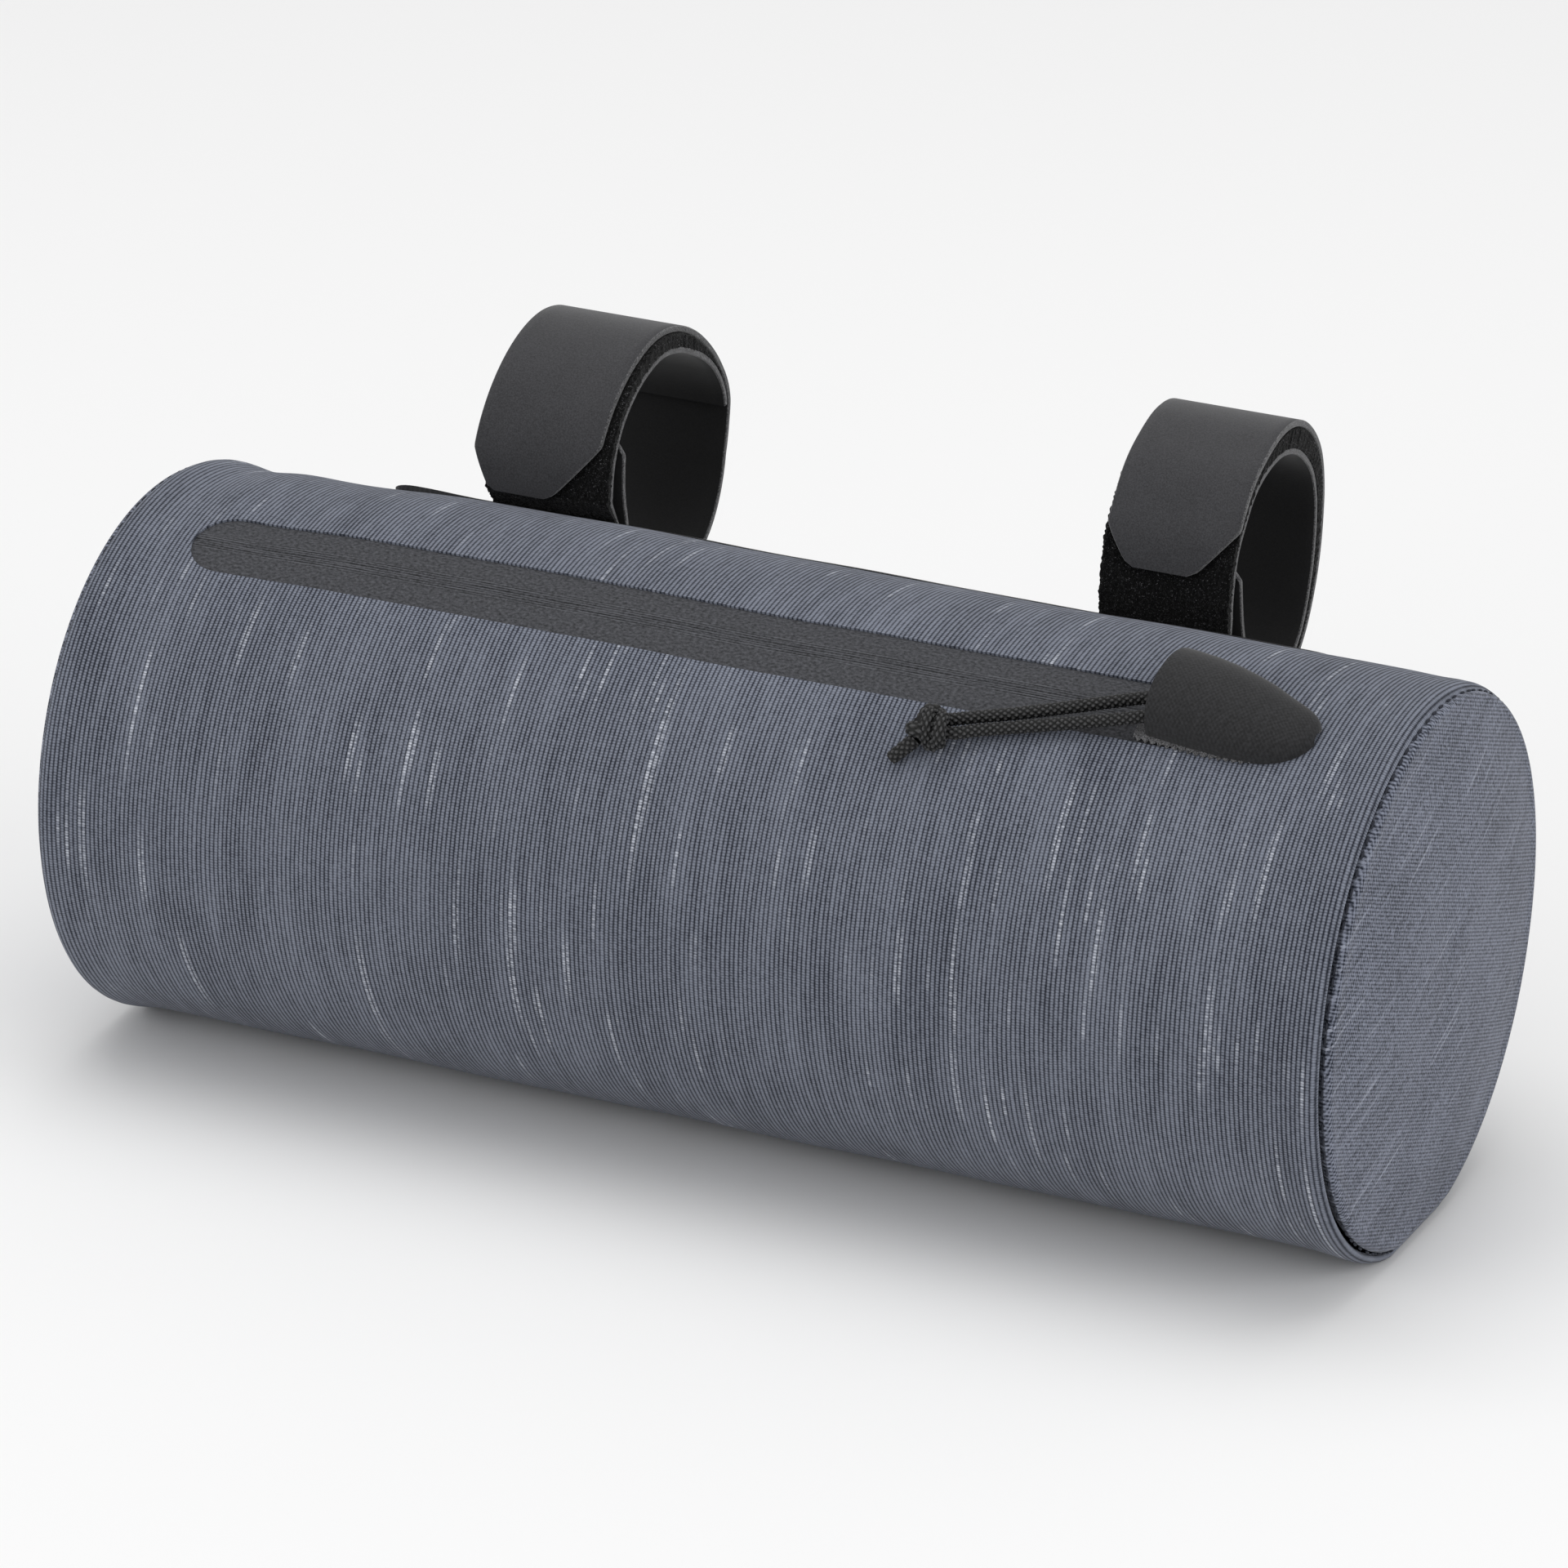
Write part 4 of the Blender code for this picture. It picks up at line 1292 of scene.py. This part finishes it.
@dataclass
class SeamStitches:
    """The stitches that show in the crease between the barrel's rim and a cap."""

    side: Side
    count: int = 96
    inset: float = 0.0021
    back: float = 0.0004
    size: Point = (0.00028, 0.00095, 0.00028)

    def build(self) -> bpy.types.Object:
        """Makes all of a seam's stitches as one piece.

        Returns:
            The stitches.
        """
        name, sign = self.side.word, self.side.value
        ball = bmesh.new()
        bmesh.ops.create_icosphere(ball, subdivisions=2, radius=1.0)
        shape = np.array([list(v.co) for v in ball.verts]) * np.array(self.size)
        faces = np.array([[v.index for v in f.verts] for f in ball.faces])
        ball.free()
        points, corners = [], []
        rng = np.random.default_rng(11)
        end = sign * FORM.length / 2
        for k in range(self.count):
            turn = 2 * math.pi * (k + 0.2 * rng.uniform(-1, 1)) / self.count
            radius = float(FORM.soft(end, np.array(turn), self.inset * FORM.snug(turn)))
            along = np.array([0.0, math.sin(turn), math.cos(turn)])
            out = np.array([0.0, -math.cos(turn), math.sin(turn)])
            centre = FORM.place(end - sign * self.back, turn, radius)
            ahead = np.array([1.0, 0.0, 0.0])
            points.append(centre + shape[:, :1] * ahead + shape[:, 1:2] * along + shape[:, 2:] * out)
            corners.append(faces + k * len(shape))
        stitches = make_piece(
            f"seam_stitches_{name}", np.concatenate(points), np.concatenate(corners),
            [StitchThread().material()],
        )
        return dress(stitches, "cap_cloth")


@dataclass
class ZipperTape:
    """Both halves of the coated tape, tucked under the window's edges, meeting on a fine line."""

    recess: float = 0.00045
    margin: float = 0.0016
    thickness: float = 0.0007
    rib_pitch: float = 0.00062
    rib_height: float = 0.00007
    ribs: int = 5

    def build(self) -> bpy.types.Object:
        """Makes the tape.

        Returns:
            The tape.
        """
        reach = FORM.zip_width / 2 + self.margin
        x = np.linspace(FORM.zip_start - self.margin, FORM.zip_end + self.margin, 300)
        into = np.minimum(x - x[0], x[-1] - x)
        half = np.sqrt(np.clip(reach**2 - np.clip(reach - into, 0.0, reach) ** 2, 0.0, None)) + 0.0002
        side = np.linspace(-1.0, 1.0, 97)
        away = side[None, :] * half[:, None]
        turn = FORM.zip_turn + away / FORM.radius
        band = np.exp(-((away / (self.ribs * self.rib_pitch / 2)) ** 4))
        ribs = self.rib_height * band * np.cos(2 * math.pi * away / self.rib_pitch)
        seam = -0.00022 * np.exp(-((away / 0.00016) ** 2))
        radius = FORM.soft(x[:, None], turn, self.recess) + ribs + seam
        points = FORM.place(x[:, None], turn, radius)
        faces = grid_faces(len(x), len(side), flip=True)
        tape = make_piece("zipper_tape", points, faces, [CoatedTape().material()])
        thicken(tape, self.thickness)
        return dress(settle(tape), "zipper_tape", "zipper_tape_lower", "zipper_tape_upper")


@dataclass
class ZipperSlider:
    """The parked slider under the hood: its modelled mesh stays and gets a finish of its own."""

    node: str = "zipper_slider"

    def dress(self) -> None:
        """Gives the slider its finish."""
        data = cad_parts[self.node].data
        data.materials.clear()
        data.materials.append(BlackZinc().material())
        log.info("%s: %d faces", self.node, len(data.polygons))


@dataclass
class Garage:
    """The hood over the parked slider, with its raw-edged backing strip."""

    mouth: float = 0.0872
    tip: float = 0.1168
    wall: float = 0.0011
    strip: float = 0.0003
    # share of the length, turn in degrees: the frayed strip's lower edge
    strip_edge: tuple[tuple[float, float], ...] = (
        (-0.12, 60.3), (0.0, 59.9), (0.36, 59.0), (0.62, 59.3), (0.84, 61.6), (0.97, 65.4),
    )
    crown: float = 0.0096
    # share of the length, near turn, far turn in degrees, height share
    sections: tuple[Row, ...] = (
        (0.00, 61.0, 81.3, 1.00),
        (0.10, 60.5, 81.0, 0.99),
        (0.22, 60.0, 80.6, 0.96),
        (0.36, 59.6, 79.9, 0.90),
        (0.50, 59.3, 78.9, 0.82),
        (0.62, 59.4, 77.8, 0.73),
        (0.74, 59.9, 76.3, 0.61),
        (0.84, 61.0, 75.2, 0.49),
        (0.90, 62.3, 74.4, 0.41),
        (0.94, 63.5, 73.6, 0.34),
        (0.97, 64.9, 72.6, 0.26),
        (0.985, 66.0, 71.8, 0.20),
        (0.995, 67.1, 70.9, 0.14),
    )

    def table(self, share: np.ndarray, column: int) -> np.ndarray:
        """Returns a column of the sections at any share of the length."""
        rows = np.array(self.sections)
        return np.interp(share, rows[:, 0], rows[:, column])

    def shell(self, shrink: float) -> np.ndarray:
        """Returns the hood's surface.

        Args:
            shrink: How far it is drawn in, for the inner side.

        Returns:
            Rows of points from the mouth to the tip.
        """
        share = 1 - (1 - np.linspace(0.0, 1.0, 48)) ** 1.6
        share = share * self.sections[-1][0]
        angle = np.linspace(0.0, math.pi, 45)
        near, far = np.radians(self.table(share, 1)), np.radians(self.table(share, 2))
        high = self.table(share, 3) * (self.crown - shrink)
        draw = shrink / FORM.radius
        middle, half = (near + far) / 2, np.maximum((far - near) / 2 - draw, 0.004)
        turn = middle[:, None] - half[:, None] * np.sign(np.cos(angle)) * np.abs(np.cos(angle)) ** 0.92
        rise = high[:, None] * np.sin(angle)[None, :] ** 0.78
        x = self.mouth + (self.tip - self.mouth - shrink) * share
        lean = 0.0012 * np.sin(angle)[None, :] * (1 - share[:, None]) ** 2
        slant = (0.0038 * angle[None, :] / math.pi - 0.0017) * (1 - share[:, None]) ** 2
        radius = FORM.soft(x[:, None], turn) + 0.0001 + rise
        return FORM.place(x[:, None] + slant - lean + 0.0006, turn, radius)

    def build(self) -> None:
        """Makes the hood and its backing strip."""
        outer, inner = self.shell(0.0), self.shell(self.wall)
        rows, columns = outer.shape[:2]
        softshell = Softshell().material()
        edge = RawEdge("#101011", "#77777a", 0.24).material()
        points = np.concatenate([outer.reshape(-1, 3), inner.reshape(-1, 3)])
        skin = grid_faces(rows, columns, flip=True)
        lining = grid_faces(rows, columns) + rows * columns
        start = rows * columns
        rim = []
        for k in range(columns - 1):
            rim.append((k + 1, k, start + k, start + k + 1))
            end = (rows - 1) * columns
            rim.append((end + k, end + k + 1, start + end + k + 1, start + end + k))
        for k in range(rows - 1):
            for column in (0, columns - 1):
                here, after = k * columns + column, (k + 1) * columns + column
                quad = (here, after, start + after, start + here)
                rim.append(quad if column == 0 else quad[::-1])
        faces = skin.tolist() + lining.tolist() + rim
        slots = np.array([0] * (len(skin) + len(lining)) + [1] * len(rim))
        hood = make_piece("garage_hood", points, faces, [softshell, edge], slots, sharp_degrees=50)
        dress(hood, "softshell", "zipper_garage")
        self.backing(edge)

    def backing(self, edge: bpy.types.Material) -> None:
        """Makes the frayed strip that shows under the hood's lower edge.

        Args:
            edge: The raw edge's material.
        """
        share = np.linspace(-0.12, 0.97, 60)
        low = np.radians(np.interp(share, *zip(*self.strip_edge)))
        across = np.linspace(0.0, 1.0, 7)
        fray = 0.00030 * np.sin(2 * math.pi * np.arange(60) * 0.37) + 0.00022 * np.sin(np.arange(60) * 2.3)
        turn = low[:, None] + (fray[:, None] * (1 - across) + 0.0034 * across) / FORM.radius
        x = self.mouth + (self.tip - self.mouth) * share
        rise = 0.0001 + 0.0004 * np.sin(math.pi * np.clip(across, 0, 1)) ** 0.5
        radius = FORM.soft(x[:, None], turn) + rise[None, :]
        points = FORM.place(x[:, None], turn, radius)
        strip = make_piece("garage_backing", points, grid_faces(60, 7, flip=True), [edge])
        thicken(strip, self.strip, 1.0)
        dress(settle(strip), "softshell")


@dataclass
class BackPanel:
    """The coated panel that carries the straps, with round corners, one of them lifted a little."""

    length: float = 0.2040
    front_turn: float = math.radians(122.3)
    back_turn: float = math.radians(167.0)
    gap: float = 0.0002
    thickness: float = 0.0010
    corner: float = 0.0070
    lifted_corner: float = 0.0012

    def cut(self, x: np.ndarray) -> np.ndarray:
        """Returns how much the round corners take off each long side.

        Args:
            x: Places along the panel.

        Returns:
            What they take off at each, as a turn.
        """
        into = np.clip(self.length / 2 - np.abs(x), 0.0, self.corner)
        return (self.corner - np.sqrt(self.corner**2 - (self.corner - into) ** 2)) / FORM.radius

    def build(self) -> None:
        """Makes the panel."""
        half = self.length / 2
        ends = half - self.corner * (1 - np.cos(np.linspace(math.pi / 2, 0.0, 9)))
        straight = np.linspace(-half + self.corner, half - self.corner, 90)[1:-1]
        x = np.concatenate([-ends[::-1], straight, ends])
        cut = self.cut(x)
        share = np.linspace(0.0, 1.0, 30)
        first, last = self.front_turn + cut, self.back_turn - cut
        turn = first[:, None] + (last - first)[:, None] * share[None, :]
        outer = FORM.soft(x[:, None], turn, -self.gap - self.thickness)
        edge = np.minimum(1.0, np.minimum(share, 1 - share) * 30)
        outer = outer - 0.0004 * (1 - edge[None, :]) ** 2
        lift = np.exp(-(((x[:, None] + 0.0965) / 0.0115) ** 2)) * np.clip(1 - share[None, :] * 4, 0.0, 1.0)
        outer = outer + self.lifted_corner * lift
        panel = make_piece(
            "panel_cloth", FORM.place(x[:, None], turn, outer), grid_faces(len(x), len(share), flip=True),
            [CoatedPanel().material()],
        )
        thicken(panel, self.thickness)
        dress(settle(panel), "panel_rubber", "back_panel")


class BandPart(Enum):
    """A part of a band's surface, by its material's slot."""

    OUTER = 0
    INNER = 1
    EDGE = 2


@dataclass
class Strap:
    """One hook-and-loop strap: pile band, hook band over it and a short tab."""

    side: Side
    x: float
    rows: tuple[Row, ...]
    front_turn: float
    rear_turn: float
    tab_turn: float
    pile_end: float
    flap_end: float
    tab_end: float
    drift: float
    near_corner: tuple[float, float] = (0.0060, 0.0040)
    far_corner: tuple[float, float] = (0.0095, 0.0074)
    width: float = 0.0268
    band: float = 0.0013
    bevel: float = 0.00022
    pile_depth: float = 0.0030
    loop_radius: float = 0.0250
    loop_turn: float = math.radians(139.7)
    loop_reach: float = 0.0220
    tab_inset: float = 0.0010

    def centre(self) -> np.ndarray:
        """Returns the loop's centre."""
        return FORM.place(0.0, self.loop_turn, FORM.radius + self.loop_reach)[1:]

    def value(self, angle: float, column: int) -> float:
        """Returns a column of the loop's table at any angle, on a smooth curve.

        Args:
            angle: Angle about the loop's centre, in degrees.
            column: The table's column.

        Returns:
            The value there.
        """
        rows = sorted(self.rows)
        if angle <= rows[0][0]:
            return rows[0][column]
        if angle >= rows[-1][0]:
            return rows[-1][column]
        after = next(index for index, row in enumerate(rows) if row[0] >= angle)
        slopes = []
        for index in (after - 1, after):
            low, high = rows[max(index - 1, 0)], rows[min(index + 1, len(rows) - 1)]
            slopes.append((high[column] - low[column]) / (high[0] - low[0]))
        start, end = rows[after - 1], rows[after]
        span = end[0] - start[0]
        t = (angle - start[0]) / span
        return (
            (2 * t**3 - 3 * t**2 + 1) * start[column]
            + (t**3 - 2 * t**2 + t) * span * slopes[0]
            + (3 * t**2 - 2 * t**3) * end[column]
            + (t**3 - t**2) * span * slopes[1]
        )

    def pile_inner(self, angle: float) -> float:
        """Returns the radius of the pile band's inner face."""
        return self.loop_radius * self.value(angle, 1)

    def pile_outer(self, angle: float) -> float:
        """Returns the radius of the pile band's outer face."""
        return self.pile_inner(angle) + self.band + self.pile_depth * self.value(angle, 2)

    def hook_inner(self, angle: float) -> float:
        """Returns the radius of the hook band's inner face, which closes on the loop past the pile.

        Args:
            angle: Angle about the loop's centre, in degrees.

        Returns:
            The radius there.
        """
        fade = 25
        cover = min(1.0, max(0.0, (angle - self.pile_end + fade) / fade))
        return self.pile_inner(angle) + (self.pile_outer(angle) - self.pile_inner(angle) + 0.0003) * cover

    def foot(self, turn: float, thickness: float, outwards: int) -> tuple[np.ndarray, np.ndarray]:
        """Returns where a band leaves the panel.

        Args:
            turn: The place's turn round the barrel.
            thickness: The band's thickness.
            outwards: 1 or -1, the way in which the band's outer face looks.

        Returns:
            An inner and an outer point.
        """
        half = thickness / 2 / FORM.radius * outwards
        radius = float(np.max(FORM.outline(np.array([turn - half, turn + half]), -0.0012)))
        return (
            FORM.place(0.0, turn + half, radius)[1:],
            FORM.place(0.0, turn - half, radius)[1:],
        )

    def arc(
        self, first: float, last: float, inner: Callable[[float], float], outer: Callable[[float], float]
    ) -> Route:
        """Returns points round the loop.

        Args:
            first: Angle to start at, in degrees.
            last: Angle to end at.
            inner: Radius of the inner face at an angle.
            outer: Radius of the outer face.

        Returns:
            Inner and outer points.
        """
        centre = self.centre()
        points = []
        for angle in np.linspace(first, last, max(3, round(abs(last - first) / 2.0)) + 1):
            ray = np.array([math.cos(math.radians(angle)), math.sin(math.radians(angle))])
            points.append((centre + ray * inner(angle), centre + ray * outer(angle)))
        return points

    def ribbon(
        self,
        name: str,
        route: Route,
        finishes: Sequence[bpy.types.Material],
        near: tuple[float, float] = (0.0, 0.0),
        far: tuple[float, float] = (0.0, 0.0),
        drift: float = 0.0,
        columns: int = 15,
        spacing: float = 0.0007,
        end_part: BandPart = BandPart.EDGE,
    ) -> bpy.types.Object:
        """Makes a band from a route of inner and outer points.

        Args:
            name: The piece's name.
            route: Inner and outer points in the YZ plane, from its foot to its end.
            finishes: Materials of the outer face, the inner face and the edges.
            near: Length and width of the cut at the end's corner toward -X.
            far: The same toward +X.
            drift: How far the end moves along X.
            columns: Points across the band.
            spacing: Distance between rows of points.
            end_part: Part whose material the cut end has.

        Returns:
            The band.
        """
        count = len(smooth_route([pair[1] for pair in route], spacing))
        inner = self.resample([pair[0] for pair in route], count)
        outer = self.resample([pair[1] for pair in route], count)
        length = np.concatenate([[0.0], np.cumsum(np.linalg.norm(np.diff(outer, axis=0), axis=1))])
        left = length[-1] - length
        half = self.width / 2
        near_cut = self.corner_cut(left, near)
        far_cut = self.corner_cut(left, far)
        middle = self.x + drift * (length / length[-1]) ** 4
        low, high = middle - half + near_cut, middle + half - far_cut
        across = np.linspace(0.0, 1.0, columns)
        thick = outer - inner
        unit = thick / np.linalg.norm(thick, axis=1)[:, None]
        rings = []
        for k in range(count):
            ring = []
            for share in across:
                ring.append((low[k] + self.bevel + (high[k] - low[k] - 2 * self.bevel) * share, *outer[k]))
            ring.append((high[k], *(outer[k] - unit[k] * self.bevel)))
            ring.append((high[k], *(inner[k] + unit[k] * self.bevel)))
            for share in across[::-1]:
                ring.append((low[k] + self.bevel + (high[k] - low[k] - 2 * self.bevel) * share, *inner[k]))
            ring.append((low[k], *(inner[k] + unit[k] * self.bevel)))
            ring.append((low[k], *(outer[k] - unit[k] * self.bevel)))
            rings.append(ring)
        points = np.array(rings)
        around = points.shape[1]
        faces = grid_faces(count, around, wrap=True).tolist()
        outer_part, inner_part, edge_part = ([part.value] for part in BandPart)
        pattern = outer_part * (columns - 1) + edge_part * 3 + inner_part * (columns - 1) + edge_part * 3
        slots = pattern * (count - 1)
        faces.append(tuple(range(around))[::-1])
        faces.append(tuple((count - 1) * around + k for k in range(around)))
        slots += [end_part.value] * 2
        band = make_piece(name, points, faces, finishes, np.array(slots), sharp_degrees=45)
        fix = bmesh.new()
        fix.from_mesh(band.data)
        bmesh.ops.recalc_face_normals(fix, faces=fix.faces)
        fix.to_mesh(band.data)
        fix.free()
        return band

    @staticmethod
    def ruffle(band: bpy.types.Object, depth: float = 0.00030) -> None:
        """Roughens a pile band's outer face and edges, as brushed loops are.

        Args:
            band: The band.
            depth: How far its points move at most.
        """
        rng = np.random.default_rng(7)
        mesh = bmesh.new()
        mesh.from_mesh(band.data)
        mesh.normal_update()
        for vert in mesh.verts:
            if any(face.material_index != BandPart.INNER.value for face in vert.link_faces):
                vert.co += vert.normal * float(depth * rng.uniform(-0.6, 1.0))
        mesh.to_mesh(band.data)
        mesh.free()

    @staticmethod
    def resample(points: Sequence[np.ndarray], count: int) -> np.ndarray:
        """Returns evenly spaced points on a smooth curve through the given ones.

        Args:
            points: The points to pass through.
            count: How many to return.

        Returns:
            The points, one for each row.
        """
        fine = smooth_route(points, 0.0003)
        along = np.concatenate([[0.0], np.cumsum(np.linalg.norm(np.diff(fine, axis=0), axis=1))])
        at = np.linspace(0.0, along[-1], count)
        return np.stack([np.interp(at, along, fine[:, k]) for k in range(fine.shape[1])], axis=1)

    @staticmethod
    def corner_cut(left: np.ndarray, corner: tuple[float, float]) -> np.ndarray:
        """Returns how much a cut corner takes off the band's side.

        Args:
            left: The length that is left to the band's end.
            corner: The cut's length and width.

        Returns:
            What it takes off at each place.
        """
        length, width = corner
        if length == 0.0:
            return np.zeros_like(left)
        chamfer = width * np.clip(1 - left / length, 0.0, 1.0) ** 1.12
        tip = 0.0018
        near_end = np.clip(1 - left / tip, 0.0, 1.0)
        return chamfer + 0.6 * tip * (1 - np.sqrt(1 - near_end**2))

    def build(self) -> None:
        """Makes the strap's three bands."""
        face = BandFace().material()
        lining = BandFace("brushed_nylon_lining", "#0d0d0e", "#171718").material()
        backing = BandFace("woven_nylon_tab", "#0c0c0d", "#1c1c1e").material()
        edge = RawEdge("#1c1c1d", "#6a6a6c", 0.35).material()
        pile = NapPile().material()
        first = max(row[0] for row in self.rows)
        last = min(row[0] for row in self.rows)
        inner_foot, outer_foot = self.foot(self.front_turn, self.band + self.pile_depth / 2, 1)
        middle_foot = inner_foot + (outer_foot - inner_foot) * 0.46
        route = [(inner_foot, middle_foot)]
        route += self.arc(first, self.pile_end, self.pile_inner, lambda a: self.pile_inner(a) + self.band)
        band = self.ribbon(f"strap_{self.side.word}_webbing", route, [lining, lining, edge],
                           end_part=BandPart.INNER)
        dress(band, "strap_face")
        route = [(middle_foot, outer_foot)]
        route += self.arc(
            first, self.pile_end, lambda a: self.pile_inner(a) + self.band * 0.9, self.pile_outer
        )
        band = self.ribbon(
            f"strap_{self.side.word}_pile", route, [pile, pile, pile], columns=64, spacing=0.00045
        )
        self.ruffle(band)
        dress(band, "strap_pile", f"strap_{self.side.word}_pile_band")

        route = [self.foot(self.rear_turn, self.band, -1)]
        route += self.arc(last, self.flap_end, self.hook_inner, lambda a: self.hook_inner(a) + self.band)
        band = self.ribbon(
            f"strap_{self.side.word}_hook", route, [face, lining, edge], self.near_corner, self.far_corner,
            self.drift,
        )
        dress(band, "strap_face", f"strap_{self.side.word}_hook_band")

        start = self.foot(self.tab_turn, self.band, 1)
        ray = np.array([math.cos(math.radians(self.tab_end)), math.sin(math.radians(self.tab_end))])
        tip = self.centre() + ray * (self.pile_inner(self.tab_end) - self.tab_inset)
        lean = (tip - start[1]) / np.linalg.norm(tip - start[1])
        across = np.array([lean[1], -lean[0]])
        middle = (start[1] + tip) / 2 - across * self.band
        route = [start]
        for point in smooth_route([start[1] + (middle - start[1]) * 0.3, middle, tip], 0.001):
            route.append((point + across * self.band, point))
        band = self.ribbon(
            f"strap_{self.side.word}_tab_band", route, [backing, lining, edge],
            (0.0045, 0.0035), (0.0045, 0.0035),
        )
        dress(band, "strap_face", f"strap_{self.side.word}_tab")


# Loop sections: angle about the loop's centre in degrees, inner face as a share of the loop's
# radius, pile as a share of its depth.
LEFT_LOOP: tuple[Row, ...] = (
    (178, 1.12, 0.40), (161, 1.14, 0.45), (148, 1.13, 0.50), (134, 1.09, 0.68), (119, 1.04, 0.85),
    (103, 0.99, 0.92), (88, 0.93, 0.92), (71, 0.88, 0.75), (54, 0.88, 0.40), (36, 0.91, 0.12),
    (18, 0.94, 0.05), (0, 0.92, 0.05), (-20, 0.94, 0.05), (-50, 0.99, 0.05), (-85, 1.00, 0.05),
    (-100, 0.99, 0.05),
)
RIGHT_LOOP: tuple[Row, ...] = (
    (186, 0.88, 0.50), (167, 0.88, 0.50), (152, 0.90, 0.45), (138, 0.90, 0.45), (122, 0.93, 0.45),
    (105, 0.93, 0.62), (88, 0.93, 1.02), (72, 0.92, 1.30), (56, 0.90, 1.32), (40, 0.88, 1.10),
    (24, 0.83, 0.80), (8, 0.78, 0.60), (-10, 0.76, 0.50), (-30, 0.79, 0.35), (-55, 0.88, 0.20),
    (-85, 0.96, 0.20), (-100, 0.97, 0.20),
)


def main() -> None:
    """Builds the camera, the cords and then every other piece, in order."""
    logging.basicConfig(level=logging.INFO, format="%(name)s %(message)s")
    StudioCamera().build()
    PullCord().build()
    BarrelShell().build()
    for side in Side:
        EndCap(side).build()
        SeamStitches(side).build()
    ZipperTape().build()
    ZipperSlider().dress()
    Garage().build()
    BackPanel().build()
    radians = math.radians
    Strap(
        Side.LEFT, -0.0654, LEFT_LOOP, radians(126), radians(151), radians(133),
        pile_end=12, flap_end=178, tab_end=149, drift=-0.0028,
        near_corner=(0.0085, 0.0042), far_corner=(0.0125, 0.0094),
    ).build()
    Strap(
        Side.RIGHT, 0.0636, RIGHT_LOOP, radians(129), radians(152), radians(147.2),
        pile_end=-62, flap_end=166, tab_end=156, drift=0.0008,
        near_corner=(0.0080, 0.0052), far_corner=(0.0105, 0.0082),
    ).build()
    StudioSet().build()


if __name__ == "__main__":
    main()
